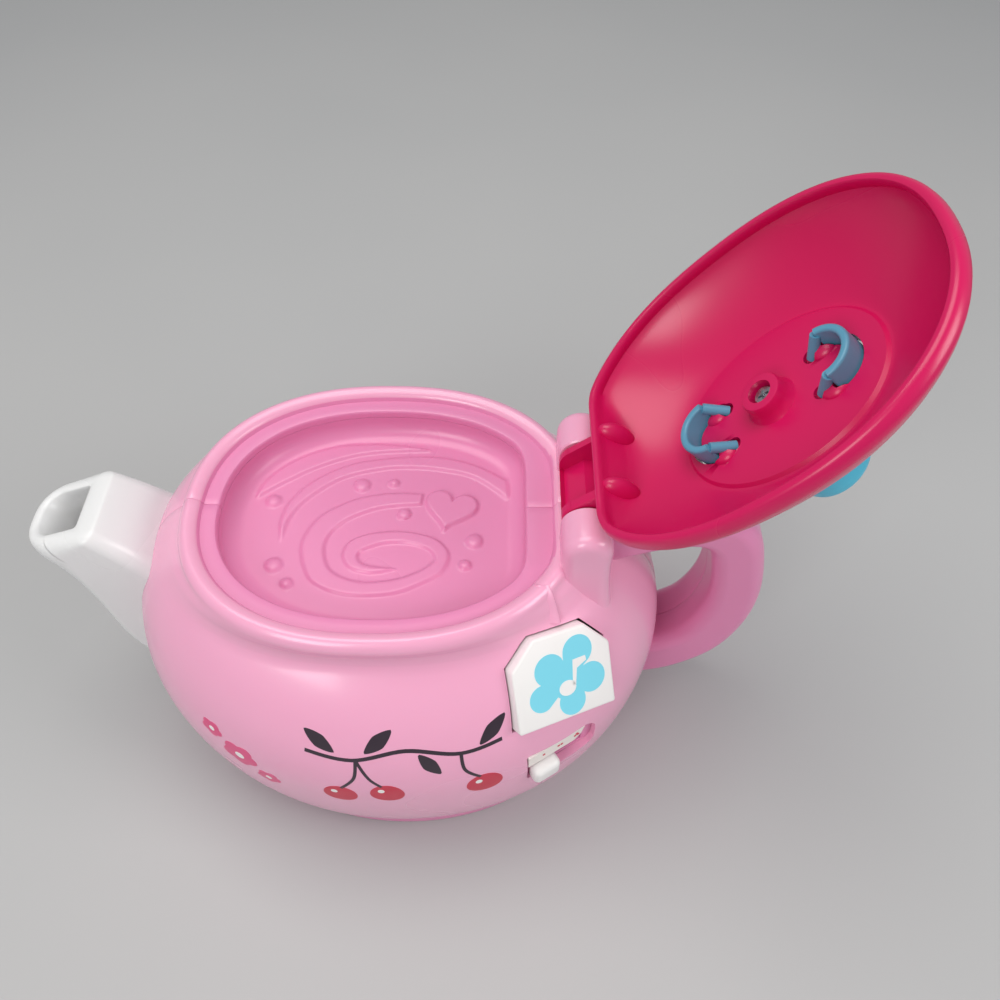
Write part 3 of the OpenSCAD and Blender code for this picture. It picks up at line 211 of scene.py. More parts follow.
def loft(name, rows, place, sides, ends=True):
    """Adds a ring, puts it on the first row and pulls it from row to row by extruding it."""
    bpy.ops.object.select_all(action="DESELECT")
    bpy.ops.mesh.primitive_circle_add(vertices=sides, radius=1.0)
    piece = bpy.context.object
    piece.name = piece.data.name = name
    bpy.ops.object.mode_set(mode="EDIT")
    bpy.ops.mesh.select_mode(type="VERT")
    bpy.ops.mesh.select_all(action="SELECT")
    mesh = bmesh.from_edit_mesh(piece.data)
    share = mesh.verts.layers.float.new("turn")
    for i, vertex in enumerate(mesh.verts):
        vertex[share] = i / sides
    for number, row in enumerate(rows):
        if number:
            bpy.ops.mesh.extrude_region_move()
        mesh = bmesh.from_edit_mesh(piece.data)
        share = mesh.verts.layers.float["turn"]
        for vertex in mesh.verts:
            if vertex.select:
                vertex.co = place(row, vertex[share])
        bmesh.update_edit_mesh(piece.data)
    if ends:
        bpy.ops.mesh.edge_face_add()
        mesh = bmesh.from_edit_mesh(piece.data)
        mesh.verts.ensure_lookup_table()
        bpy.ops.mesh.select_all(action="DESELECT")
        for vertex in mesh.verts[:sides]:
            vertex.select = True
        mesh.select_flush(True)
        bpy.ops.mesh.edge_face_add()
    bpy.ops.mesh.select_all(action="SELECT")
    bpy.ops.mesh.remove_doubles(threshold=0.002 * mm)
    bpy.ops.mesh.normals_make_consistent(inside=False)
    bpy.ops.object.mode_set(mode="OBJECT")
    piece.data.attributes.remove(piece.data.attributes["turn"])
    return piece


def work_on(piece):
    bpy.ops.object.select_all(action="DESELECT")
    piece.select_set(True)
    bpy.context.view_layer.objects.active = piece


def copy_of(piece, name):
    work_on(piece)
    bpy.ops.object.duplicate()
    made = bpy.context.object
    made.name = made.data.name = name
    return made


def joined(pieces):
    """One object of several, under the first one's name."""
    bpy.ops.object.select_all(action="DESELECT")
    for piece in pieces:
        piece.select_set(True)
    bpy.context.view_layer.objects.active = pieces[0]
    bpy.ops.object.join()
    return pieces[0]


def combine(piece, other, operation):
    """Cuts another solid out of a piece, or welds it on, and removes that solid."""
    work_on(piece)
    step = piece.modifiers.new("combine", "BOOLEAN")
    step.object = other
    step.operation = operation
    step.solver = "EXACT"
    bpy.ops.object.modifier_apply(modifier="combine")
    bpy.data.objects.remove(other)


def half_of(piece, side, name, seam):
    """The front (-1) or back (1) half of a hollow moulding, with its edges eased along the seam."""
    half = copy_of(piece, name)
    bpy.ops.object.mode_set(mode="EDIT")
    bpy.ops.mesh.select_all(action="SELECT")
    bpy.ops.mesh.bisect(plane_co=(0, 0, 0), plane_no=(0, -side, 0), use_fill=True, clear_outer=True)
    mesh = bmesh.from_edit_mesh(half.data)
    bpy.ops.mesh.select_all(action="DESELECT")
    for edge in mesh.edges:
        on_seam = [f for f in edge.link_faces if all(abs(v.co.y) < 1e-6 for v in f.verts)]
        edge.select = len(on_seam) == 1 and len(edge.link_faces) == 2
    bmesh.update_edit_mesh(half.data)
    bpy.ops.mesh.bevel(offset=seam, segments=2, affect="EDGES")
    bpy.ops.object.mode_set(mode="OBJECT")
    return half


def smooth(piece, angle=35.0):
    work_on(piece)
    bpy.ops.object.shade_smooth_by_angle(angle=math.radians(angle))


low_rows = [low_row(foot_z + (belly_z - foot_z) * (i / 26) ** 2) for i in range(27)]
shoulder_rows = [shoulder_row(belly_z + (crease_z - belly_z) * i / 32) for i in range(1, 31)]
collar_rows = through([
    shoulder_row(crease_z - 2.4),
    shoulder_row(crease_z - 0.6),
    oval_row((59.3, 44.1), rim_x, rim_n, 87.6),
    oval_row((57.2, 44.5), rim_x, rim_n, 89.6),
    rim_row(lip_width + 0.6, 91.7),
    rim_row(lip_width - 0.2, 93.5),
    rim_row(lip_width * 0.68, ledge_z + lip_height),
    rim_row(lip_width * 0.40, ledge_z + lip_height * 0.94, rim_flat_x + lip_width * 0.40),
    rim_row(lip_width * 0.14, ledge_z + lip_height * 0.62, rim_flat_x + lip_width * 0.14),
    rim_row(0, ledge_z + 0.35, rim_flat_x),
], 5)[5:]
ledge_rows = [
    rim_row(-0.15, ledge_z, rim_flat_x - 0.15),
    rim_row(-ledge_width / 2, ledge_z, (rim_flat_x + tray_flat_x) / 2, (corner_soft + tray_soft) / 2),
    rim_row(0.9 - ledge_width, ledge_z, tray_flat_x + 0.9, tray_soft),
    rim_row(0.35 - ledge_width, ledge_z - 0.15, tray_flat_x + 0.35, tray_soft),
    rim_row(0.08 - ledge_width, ledge_z - 0.5, tray_flat_x + 0.08, tray_soft),
    rim_row(-ledge_width, ledge_z - 0.9, tray_flat_x, tray_soft),
    rim_row(-ledge_width, ledge_z - shell_wall, tray_flat_x, tray_soft),
    rim_row(1.4, ledge_z - shell_wall, rim_flat_x + 1.4),
]
inner_rows = [inset_row(shoulder_row(z), shell_wall) for z in (82, 76, 68, 60, 52)]
inner_rows += [inset_row(low_row(z), shell_wall) for z in (47, 40, 30, 22, 16, 12, 10)]
shell = loft("shell", low_rows + shoulder_rows + collar_rows + ledge_rows + inner_rows + low_rows[:1],
             oval_point, shell_sides, ends=False)

hinge = Vector((51.6, 0, 100.5)) * mm
barrel_r, barrel_start, barrel_end, barrel_round = 6.5, 11.0, 23.0, 3.2
barrel_foot_z, barrel_flare = 78.0, 2.0


def barrel_point(row, turn):
    """Arch of a hinge barrel: a half round on two legs that flare into the collar."""
    reach, inset, flare_y = row
    radius = barrel_r - inset
    leg = hinge.z / mm - barrel_foot_z
    along = turn * (2 * leg + math.pi * barrel_r)
    if along < leg:
        side, z = -1, barrel_foot_z + along
    elif along > leg + math.pi * barrel_r:
        side, z = 1, barrel_foot_z + (2 * leg + math.pi * barrel_r - along)
    else:
        angle = math.pi - (along - leg) / barrel_r
        return Vector((hinge.x / mm + radius * math.cos(angle), reach, hinge.z / mm + radius * math.sin(angle))) * mm
    drop = max(0.0, (hinge.z / mm - 3 - z) / leg)
    return Vector((hinge.x / mm + side * (radius + barrel_flare * drop**2), reach + flare_y * drop**2, z)) * mm


def hinge_barrel(side):
    round_rows = [(barrel_end - barrel_round * (1 - math.sin(a)), barrel_round * (1 - math.cos(a)), barrel_flare * 1.5)
                  for a in (math.radians(15 * k) for k in range(7))]
    rows = [(barrel_start, 0.4, 0), (barrel_start + 0.4, 0, 0), (barrel_start + 4, 0, 0)] + round_rows
    return loft("barrel", [(side * y, inset, side * flare) for y, inset, flare in rows], barrel_point, 64)


def block_between(name, low, high):
    """A cube between two corners."""
    bpy.ops.object.select_all(action="DESELECT")
    bpy.ops.mesh.primitive_cube_add(size=1.0, location=(Vector(low) + Vector(high)) / 2 * mm,
                                    scale=(Vector(high) - Vector(low)) * mm)
    bpy.ops.object.transform_apply(location=True, rotation=True, scale=True)
    bpy.context.object.name = name
    return bpy.context.object


def rod(name, start, end, radius, sides=48):
    """A cylinder from one point to another."""
    start, end = Vector(start) * mm, Vector(end) * mm
    bpy.ops.object.select_all(action="DESELECT")
    bpy.ops.mesh.primitive_cylinder_add(vertices=sides, radius=radius * mm, depth=(end - start).length,
                                        location=(start + end) / 2,
                                        rotation=(end - start).to_track_quat("Z", "Y").to_euler())
    bpy.ops.object.transform_apply(location=True, rotation=True, scale=True)
    bpy.context.object.name = name
    return bpy.context.object


def wall_y(x, z):
    """Half depth of the belly at a place along it."""
    length, depth, centre_x, squareness = (low_row(z) if z < belly_z else shoulder_row(z))[:4]
    return depth * (1 - (abs(x - centre_x) / length) ** squareness) ** (1 / squareness)


def face_frame(x, z, azimuth, elevation=0.0, spin=0.0, side=-1):
    """Frame on the belly: z points outwards, x along the surface and y up."""
    place = Matrix.Translation(Vector((x, side * wall_y(x, z), z)) * mm)
    turn = Matrix.Rotation(math.radians(azimuth + 90), 4, "Z")
    tip = Matrix.Rotation(math.radians(90 - elevation), 4, "X")
    return place @ turn @ tip @ Matrix.Rotation(math.radians(spin), 4, "Z")


tag_frame = face_frame(45.6, 75.7, -56, 37, -13)
stage_frame = face_frame(47.5, 49.0, -58)
power_frame = face_frame(0.0, 40.0, 90, side=1)
tag_width, tag_height, tag_cut = 29.0, 24.5, 7.0
stage_travel, power_travel = 12.0, 10.0
window_height, window_edge, seat_gap, slide_gap = 14.0, 5.0, 0.2, 0.45
screw_places = [(-42, 36), (-42, 68), (50, 34), (8, 71)]
screw_seat_y = 7.0


def tag_outline(grow):
    """The tag: a rectangle with its two upper corners cut off."""
    w, h, c = tag_width / 2 + grow, tag_height / 2 + grow, tag_cut
    return [(-w, -h), (w, -h), (w, h - c), (w - c, h), (c - w, h), (-w, h - c)]


def prism(name, outline, low, high):
    """An outline pulled up into a prism."""
    bpy.ops.object.select_all(action="DESELECT")
    bpy.ops.mesh.primitive_circle_add(vertices=len(outline), radius=1.0, fill_type="NGON")
    piece = bpy.context.object
    piece.name = piece.data.name = name
    for vertex, (x, y) in zip(piece.data.vertices, outline):
        vertex.co = Vector((x, y, low)) * mm
    bpy.ops.object.mode_set(mode="EDIT")
    bpy.ops.mesh.select_all(action="SELECT")
    bpy.ops.mesh.extrude_region_move(TRANSFORM_OT_translate={"value": (0, 0, (high - low) * mm)})
    bpy.ops.mesh.select_all(action="SELECT")
    bpy.ops.mesh.normals_make_consistent(inside=False)
    bpy.ops.object.mode_set(mode="OBJECT")
    return piece


def placed(piece, matrix):
    """Puts the place into the mesh, so that the object stays at the origin."""
    piece.data.transform(matrix)
    piece.data.update()
    return piece


def window_outline(travel, inset):
    """Window of a slide switch: its near end has tight corners, its far end is rounded."""
    w, h = travel / 2 + window_edge + seat_gap - inset, window_height / 2 + seat_gap - inset
    found = []
    for turn, radius, (x, y) in ((0, 5.6, (w, h)), (1, 1.4, (-w, h)), (2, 1.4, (-w, -h)), (3, 2.6, (w, -h))):
        for k in range(9):
            angle = math.pi / 2 * (turn + k / 8)
            found.append((x - math.copysign(radius, x) + radius * math.cos(angle),
                          y - math.copysign(radius, y) + radius * math.sin(angle)))
    return found


def window_block(window_frame, travel):
    return placed(prism("window", window_outline(travel, 0), -12, 12), window_frame)


shell_pink, shader = new_material("shell_pink")
tint(shell_pink, grain(shell_pink, 9, 1), from_screen(238, 166, 197), from_screen(241, 172, 202),
     shader.inputs["Base Color"])
vary(shell_pink, grain(shell_pink, 18, 1), 0.2, 0.3, shader.inputs["Roughness"])
shader.inputs["Subsurface Weight"].default_value = 0.12
shader.inputs["Subsurface Radius"].default_value = (0.003, 0.0015, 0.0018)
shader.inputs["Coat Weight"].default_value = 0.25
shader.inputs["Coat Roughness"].default_value = 0.12

deep_pink, shader = new_material("deep_pink")
tint(deep_pink, grain(deep_pink, 9, 1), from_screen(224, 134, 178), from_screen(228, 141, 183),
     shader.inputs["Base Color"])
vary(deep_pink, grain(deep_pink, 18, 1), 0.26, 0.36, shader.inputs["Roughness"])
shader.inputs["Subsurface Weight"].default_value = 0.12
shader.inputs["Subsurface Radius"].default_value = (0.003, 0.0015, 0.0018)

seam_ease = 0.22 * mm
front_shell = half_of(shell, -1, "front_shell", seam_ease)
back_shell = half_of(shell, 1, "back_shell", seam_ease)
bpy.data.objects.remove(shell)
for half, side in ((front_shell, -1), (back_shell, 1)):
    combine(half, hinge_barrel(side), "UNION")
    combine(half, rod("relief", (51.6, -barrel_start, 100.5), (51.6, barrel_start, 100.5), barrel_r + 0.7), "DIFFERENCE")
combine(front_shell, placed(prism("tag_hole", tag_outline(slide_gap), -12, 12), tag_frame), "DIFFERENCE")
combine(front_shell, window_block(stage_frame, stage_travel), "DIFFERENCE")
combine(back_shell, window_block(power_frame, power_travel), "DIFFERENCE")
for x, z in screw_places:
    combine(back_shell, rod("screw_hole", (x, screw_seat_y, z), (x, 90, z), 2.85, 24), "DIFFERENCE")
for half, node in ((front_shell, "body_front"), (back_shell, "body_back")):
    half.data.materials.append(shell_pink)
    half.data.materials.append(deep_pink)
    for face in half.data.polygons:
        x, y, z = (v / mm for v in face.center)
        within = (abs(x - rim_x) / (rim_half[0] + 0.4)) ** rim_n + (abs(y) / (rim_half[1] + 0.4)) ** rim_n
        face.material_index = int(within < 1 and x < rim_flat_x + 0.4 and z > ledge_z - shell_wall - 1)
    smooth(half)
    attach(half, "pot")
    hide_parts(node)


# Tea tray: the dish under the lid, in the deeper pink, hung under the ledge by its own flange.
# One moulding: a wall with a wide soft corner and a floor with raised bubbles, a heart and a swirl.
tray_floor_z, tray_top_z, tray_wall, tray_corner = 83.0, 89.5, 1.8, 5.0
tray_grow, relief_height, relief_edge, tray_sides = -4.5, 0.8, 0.9, 288
swirl_pairs = [
    (7.2, 10.7, 6.8, 7.0), (-1.6, 10.8, -1.2, 6.3), (-9.3, 9.5, -6.4, 5.1), (-15.2, 6.9, -11.6, 2.7),
    (-20.9, 2.8, -15.3, -0.1), (-24.3, -2.8, -18.1, -3.9), (-25.2, -9.0, -19.0, -8.6),
    (-22.2, -17.4, -17.2, -14.4), (-17.6, -21.1, -13.8, -17.3), (-11.6, -23.0, -9.2, -18.9),
    (-4.4, -23.3, -4.6, -19.2), (2.6, -22.2, 2.3, -18.0), (8.2, -19.6, 7.9, -15.5),
    (13.3, -16.3, 10.5, -13.4), (15.4, -12.1, 11.7, -11.5), (14.9, -8.6, 10.5, -9.0),
    (11.5, -5.0, 7.4, -7.2), (5.6, -3.1, 2.8, -6.2), (-0.5, -2.6, -2.2, -6.4), (-7.3, -3.6, -6.3, -7.8),
    (-11.9, -6.0, -8.8, -9.2), (-13.5, -9.6, -9.5, -11.0), (-12.9, -12.5, -8.7, -12.8),
    (-10.6, -14.9, -6.9, -13.8), (-5.2, -16.2, -3.9, -14.4), (1.0, -14.9, 1.0, -14.9),
]
near_ripple = [
    (-31.3, -5.6, -31.3, -5.2), (-32.3, 0.6, -29.9, 2.0), (-30.5, 8.1, -25.6, 9.0), (-24.1, 15.8, -16.8, 16.3),
    (-14.1, 21.7, -5.6, 19.9), (-1.9, 24.1, 3.0, 20.6), (10.6, 24.5, 12.0, 19.8), (22.3, 21.3, 22.4, 16.8),
    (33.2, 14.5, 33.0, 8.0),
]
far_ripple = [
    (-39.5, 15.5, -40.5, 9.2), (-33.8, 24.0, -33.0, 14.9), (-24.2, 27.7, -25.0, 20.2), (-13.3, 29.1, -15.0, 24.6),
    (-3.1, 29.2, -5.0, 26.5), (8.1, 27.5, 8.0, 27.3),
]
bubbles = [(-35.5, 7.8, 2.1), (-10.8, 13.8, 2.3), (-1.5, 14.7, 1.4), (2.2, 3.6, 1.9), (22.3, -5.5, 2.3),
           (20.0, -13.4, 1.6), (-31.9, -13.9, 2.3), (-27.5, -19.7, 1.6)]
heart_place, heart_width, heart_turn = (15.3, 5.5), 15.0, math.radians(-12)


def tray_row(grow, z):
    return rim_row(grow, z, tray_flat_x + grow + ledge_width, tray_soft)


def shrunk_row(row, share):
    flat = row[2] + (row[5] - row[2]) * share
    return (row[0] * share, row[1] * share, row[2], row[3], row[4], flat, row[6] * share)


def band_outline(pairs):
    """Outline of a raised band from points along its two sides."""
    fine = through(pairs, 6)
    return [p[:2] for p in fine] + [p[2:] for p in reversed(fine)]


def heart_outline(width):
    steps = [2 * math.pi * k / 72 for k in range(72)]
    scale = width / 32
    return [(scale * 16 * math.sin(t) ** 3,
             scale * (13 * math.cos(t) - 5 * math.cos(2 * t) - 2 * math.cos(3 * t) - math.cos(4 * t)))
            for t in steps]


def soft_inside(x, y, outline, edge):
    """1 inside an outline and 0 outside it, with a soft step of the given width between."""
    ax, ay = np.array(outline).T
    bx, by = np.roll(ax, -1), np.roll(ay, -1)
    dx, dy = bx - ax, by - ay
    px, py = x[:, None], y[:, None]
    along = np.clip(((px - ax) * dx + (py - ay) * dy) / np.maximum(dx**2 + dy**2, 1e-9), 0, 1)
    distance = np.hypot(px - ax - along * dx, py - ay - along * dy).min(axis=1)
    crossed = ((ay > py) != (by > py)) & (px < dx * (py - ay) / np.where(dy == 0, 1e-9, dy) + ax)
    signed = np.where(crossed.sum(axis=1) % 2 == 1, distance, -distance)
    step = np.clip(signed / edge + 0.5, 0, 1)
    return step * step * (3 - 2 * step)


under_row = tray_row(tray_grow + tray_wall - 3, tray_floor_z - tray_wall)
corner_rows = [
    tray_row(tray_grow - tray_corner * (1 - math.cos(a)), tray_floor_z + tray_corner * (1 - math.sin(a)))
    for a in (math.radians(9 * k) for k in range(11))
]
floor_rows = [shrunk_row(corner_rows[-1], 1 - k / 78) for k in range(1, 79)]
tea_tray = loft("tea_tray_dish", [
    shrunk_row(under_row, 0),
    shrunk_row(under_row, 0.5),
    under_row,
    tray_row(tray_grow + tray_wall, tray_floor_z + 1.2),
    tray_row(tray_grow + tray_wall, tray_top_z - tray_wall),
    rim_row(0.4, tray_top_z - tray_wall, rim_flat_x + 0.4),
    rim_row(0.4, tray_top_z, rim_flat_x + 0.4),
    tray_row(tray_grow, tray_top_z),
] + corner_rows + floor_rows, oval_point, tray_sides, ends=False)
spots = np.empty(len(tea_tray.data.vertices) * 3)
tea_tray.data.vertices.foreach_get("co", spots)
spots = spots.reshape(-1, 3) / mm
on_floor = np.abs(spots[:, 2] - tray_floor_z) < 0.01
floor_x, floor_y = spots[on_floor, 0], spots[on_floor, 1]
raised = np.zeros(len(floor_x))
for pairs in (swirl_pairs, near_ripple, far_ripple):
    raised = np.maximum(raised, relief_height * soft_inside(floor_x, floor_y, band_outline(pairs), relief_edge))
for x, y, radius in bubbles:
    away = np.hypot(floor_x - x, floor_y - y) / radius
    raised = np.maximum(raised, 1.3 * relief_height * np.sqrt(np.clip(1.1 - away**2, 0, 1)))
turned = [(heart_place[0] + u * math.cos(heart_turn) - v * math.sin(heart_turn),
           heart_place[1] + u * math.sin(heart_turn) + v * math.cos(heart_turn))
          for u, v in heart_outline(heart_width)]
raised = np.maximum(raised, 1.5 * relief_height * soft_inside(floor_x, floor_y, turned, relief_edge))
spots[on_floor, 2] += raised
tea_tray.data.vertices.foreach_set("co", (spots * mm).ravel())
tea_tray.data.update()
tea_tray.data.materials.append(deep_pink)
smooth(tea_tray, 75)
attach(tea_tray, "pot")
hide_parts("tea_tray")


# Spout: a separate moulding in milky, slightly see-through plastic, held by its root between the shells.
# Its section is a rounded box that narrows to a thick-lipped mouth, hollow from the mouth down.
spout_low = [(-74, 22), (-97, 35), (-80, 57), (-104, 84)]
spout_high = [(-63, 77.5), (-69, 83), (-75, 90), (-80.3, 92.5)]
spout_widths, spout_top_corners, spout_low_corners = (15.5, 12.5), (6.0, 3.6), (9.0, 10.5)
spout_wall, spout_lip, spout_lip_share, spout_bottom = 5.2, 3.8, 0.08, 0.3


def bezier(points, t):
    weights = ((1 - t) ** 3, 3 * t * (1 - t) ** 2, 3 * t**2 * (1 - t), t**3)
    return Vector([sum(w * p[k] for w, p in zip(weights, points)) for k in (0, 1)])


def box_point(turn, half_width, half_height, radius):
    """Point around a rounded box: each quarter is a corner arc and then a straight side."""
    quarter, share = divmod(turn * 4 % 4, 1)
    arc = min(share / 0.7, 1.0) * math.pi / 2
    x, y = half_width - radius + radius * math.cos(arc), half_height - radius + radius * math.sin(arc)
    if quarter % 2 == 0:
        x -= 2 * (half_width - radius) * max(0.0, share - 0.7) / 0.3 * 0.75
    else:
        x, y = y - half_height + radius, x - half_width + radius
        x, y = half_width - radius + x, half_height - radius + y - 2 * (half_height - radius) * max(0.0, share - 0.7) / 0.3 * 0.75
    if quarter == 1:
        x = -x
    elif quarter == 2:
        x, y = -x, -y
    elif quarter == 3:
        y = -y
    return x, y


def spout_point(row, turn):
    t, inset = row
    low, high = bezier(spout_low, max(t, 0)), bezier(spout_high, max(t, 0))
    middle, rise = (low + high) / 2, (high - low) / 2
    outward = Vector((-rise.y, rise.x)).normalized()
    corners = spout_low_corners if turn >= 0.5 else spout_top_corners
    half_width, radius = (a + (b - a) * max(t, 0) for a, b in (spout_widths, corners))
    across, up = box_point(turn, half_width - inset, rise.length - inset, max(radius - inset, 1.2))
    spot = middle + rise.normalized() * up + outward * (min(t, 0) * 60)
    return Vector((spot.x, across, spot.y)) * mm


spout_rows = [(-0.22, 0)] + [((1 - spout_lip_share) * k / 40, 0) for k in range(40)]
spout_rows += [(1 - spout_lip_share * (1 - math.sin(a)), spout_lip * (1 - math.cos(a))) for a in
               (math.radians(15 * k) for k in range(7))]
spout_rows += [(1 - 0.012 * (1 - math.cos(a)), spout_lip + (spout_wall - spout_lip) * math.sin(a)) for a in
               (math.radians(22.5 * k) for k in range(1, 5))]
spout_rows += [(0.96 - (0.96 - spout_bottom) * k / 24, spout_wall) for k in range(25)]
spout = loft("pouring_spout", spout_rows, spout_point, 80)
milk, shader = new_material("milk_plastic")
tint(milk, grain(milk, 9, 1), from_screen(229, 229, 229), from_screen(234, 234, 233), shader.inputs["Base Color"])
vary(milk, grain(milk, 18, 1), 0.22, 0.32, shader.inputs["Roughness"])
shader.inputs["Subsurface Weight"].default_value = 0.55
shader.inputs["Subsurface Radius"].default_value = (0.006, 0.006, 0.0058)
spout.data.materials.append(milk)
smooth(spout)
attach(spout, "pot")
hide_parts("spout")


# Handle: two hollow halves in the deeper pink, screwed together from the back along the middle plane.
# One rounded bar is swept from the shoulder to the belly and then cut into its halves.
handle_line = [(56, 85), (66, 89.5), (76, 93), (86, 93), (93, 87.5), (96.8, 75), (98.8, 60), (97.4, 46),
               (92.5, 33.5), (84, 25.4), (76, 22.4), (68, 21.8)]
handle_half, handle_round, handle_thin, handle_swell = 11.0, 4.5, 7.0, 4.0
handle_path = through(handle_line, 8)


def handle_point(number, turn):
    share = number / (len(handle_path) - 1)
    before, after = handle_path[max(number - 1, 0)], handle_path[min(number + 1, len(handle_path) - 1)]
    ahead = (Vector(after) - Vector(before)).normalized()
    across, out = box_point(turn, handle_half, handle_thin + handle_swell * share**3, handle_round)
    spot = Vector(handle_path[number]) + Vector((-ahead.y, ahead.x)) * out
    return Vector((spot.x, across, spot.y)) * mm


handle_bar = loft("handle_bar", range(len(handle_path)), handle_point, 80)
for side, half_name, node in ((-1, "handle_front_half", "handle_front"), (1, "handle_back_half", "handle_back")):
    half = half_of(handle_bar, side, half_name, 0.3 * mm)
    if side > 0:
        for number in (3, 6, 9):
            x, z = handle_line[number]
            combine(half, rod("screw_hole", (x, 6, z), (x, 20, z), 2.65, 24), "DIFFERENCE")
    half.data.materials.append(deep_pink)
    smooth(half)
    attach(half, "pot")
    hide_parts(node)
bpy.data.objects.remove(handle_bar)


# Lid: a deep magenta dome with one straight side at the hinge, hollow, with a rounded rim.
# The hinge block, the screw boss and two gussets are moulded on inside, and two slots take the knob's clips.
lid_z, lid_wide_z, lid_top_z, lid_inner_z = 92.4, 95.6, 113.0, 110.6
lid_wide, lid_top, lid_flat_x, lid_lean = (49.9, 40.3), (30.0, 24.1), 41.5, 0.3
lid_wall, lid_curve, lid_step, boss_x, boss_radius = 2.4, 1.25, 0.7, -0.6, 5.15
lid_angle = math.radians(130.5)
opened = Matrix.Translation(hinge) @ Matrix.Rotation(lid_angle, 4, "Y") @ Matrix.Translation(-hinge)


def lid_row(z, depth):
    rise = min(max((z - lid_wide_z) / (lid_top_z - depth - lid_wide_z), 0), 1)
    share = (1 - rise**lid_curve) ** (1 / lid_curve)
    half = mix(lid_top, lid_wide, share)
    return oval_row((half[0] - depth, half[1] - depth), rim_x, belly_n + (rim_n - belly_n) * share, z,
                    lid_flat_x - depth - (z - lid_wide_z) * lid_lean)


def dome_rows(depth, steps):
    top = lid_top_z - depth
    return [lid_row(lid_wide_z + (top - lid_wide_z) * math.sin(math.pi / 2 * k / steps), depth) for k in range(steps + 1)]


lid_outside, lid_inside = dome_rows(0, 22), dome_rows(lid_wall, 22)
plateau_row = inset_row(lid_row(lid_inner_z, lid_wall), 1.3)
plateau_row = plateau_row[:4] + (lid_inner_z - lid_step,) + plateau_row[5:]
lid_dome = loft("lid_dome", [
    *(shrunk_row(plateau_row, k / 6) for k in range(7)),
    inset_row(lid_inside[-1], 0.5),
    *reversed(lid_inside),
    rim_row(-1.9, 94.2, 39.1),
    rim_row(-1.8, 93.0, 39.3),
    rim_row(-1.5, 92.55, 39.7),
    rim_row(-0.9, 92.4, 40.3),
    rim_row(-0.2, 92.6, 40.8),
    rim_row(0.3, 93.2, 41.1),
    rim_row(0.7, 94.2, 41.35),
    *lid_outside,
    *(shrunk_row(lid_outside[-1], 1 - k / 6) for k in range(1, 7)),
], oval_point, shell_sides, ends=False)


def block_side(row, turn):
    """Side view of the hinge block: a bar from inside the lid that ends in a round about the pin."""
    reach, inset = row
    radius = 6.3 - inset
    if turn < 0.6:
        angle = math.radians(100 - 200 * turn / 0.6)
        return Vector((51.6 + radius * math.cos(angle), reach, 100.5 + radius * math.sin(angle))) * mm
    corners = [(51.6, 100.5 - radius), (39.6, 96.0 + inset), (39.6, 107.2 - inset), (48.0, 100.5 + radius)]
    share, k = math.modf(min((turn - 0.6) / 0.4 * 3, 2.999))
    spot = Vector(corners[int(k)]).lerp(Vector(corners[int(k) + 1]), share)
    return Vector((spot.x, reach, spot.y)) * mm


block_rows = [(10.55 - 1.0 * (1 - math.sin(a)), 1.0 * (1 - math.cos(a))) for a in (math.radians(22.5 * k) for k in range(5))]
hinge_block = loft("hinge_block", [(-y, inset) for y, inset in reversed(block_rows)] + block_rows, block_side, 100)
combine(lid_dome, hinge_block, "UNION")
pocket_side = [(43.0, 90.0), (56.4, 90.0), (56.4, 98.2), (53.0, 98.7), (49.9, 99.2), (47.4, 102.6), (45.8, 103.6), (43.0, 103.9)]
combine(lid_dome, placed(prism("pocket", pocket_side, -7.9, 7.9), Matrix.Rotation(math.pi / 2, 4, "X")), "DIFFERENCE")
boss = loft("boss", [(8.4, 111.2), (6.6, 110.2), (5.7, 108.9), (5.3, 107.4), (boss_radius, 105.6), (4.9, 105.1), (4.6, 105.0)],
            lambda row, turn: Vector((boss_x + row[0] * math.cos(2 * math.pi * turn),
                                      row[0] * math.sin(2 * math.pi * turn), row[1])) * mm, 64)
combine(lid_dome, boss, "UNION")
combine(lid_dome, rod("boss_bore", (boss_x, 0, 100), (boss_x, 0, lid_inner_z - 2.2), 3.0), "DIFFERENCE")


def pad(name, place, radii):
    """A rounded pad: a sphere drawn out to three half sizes."""
    bpy.ops.object.select_all(action="DESELECT")
    bpy.ops.mesh.primitive_uv_sphere_add(segments=40, ring_count=20, radius=1.0, location=Vector(place) * mm,
                                         scale=Vector(radii) * mm)
    bpy.ops.object.transform_apply(location=True, rotation=True, scale=True)
    bpy.context.object.name = name
    return bpy.context.object


clip_offset, clip_radius, clip_thick, clip_low, clip_high = 15.4, 6.6, 2.0, 104.4, 117.0
clip_span, clip_slot_gap, prong_reach = math.radians(84), 0.5, 3.6


def clip_bow(name, side, gap):
    """Curved bow of a clip, wide towards the lid's edge, for the clip itself or for its slot."""
    def bow_point(row, turn):
        angle, share = row
        across, up = box_point(turn, (clip_thick / 2 + gap) * share, (clip_high - clip_low) / 2 * (0.7 + 0.3 * share),
                               0.8 * share)
        reach = clip_radius + across
        return Vector((boss_x + side * (clip_offset + reach * math.cos(angle)), reach * math.sin(angle),
                       (clip_high + clip_low) / 2 + up)) * mm
    ends = clip_span + gap / clip_radius
    turns = [ends * (2 * k / 28 - 1) for k in range(29)]
    return loft(name, [(turns[0] - 0.05, 0.6)] + [(a, 1.0) for a in turns] + [(turns[-1] + 0.05, 0.6)], bow_point, 40)


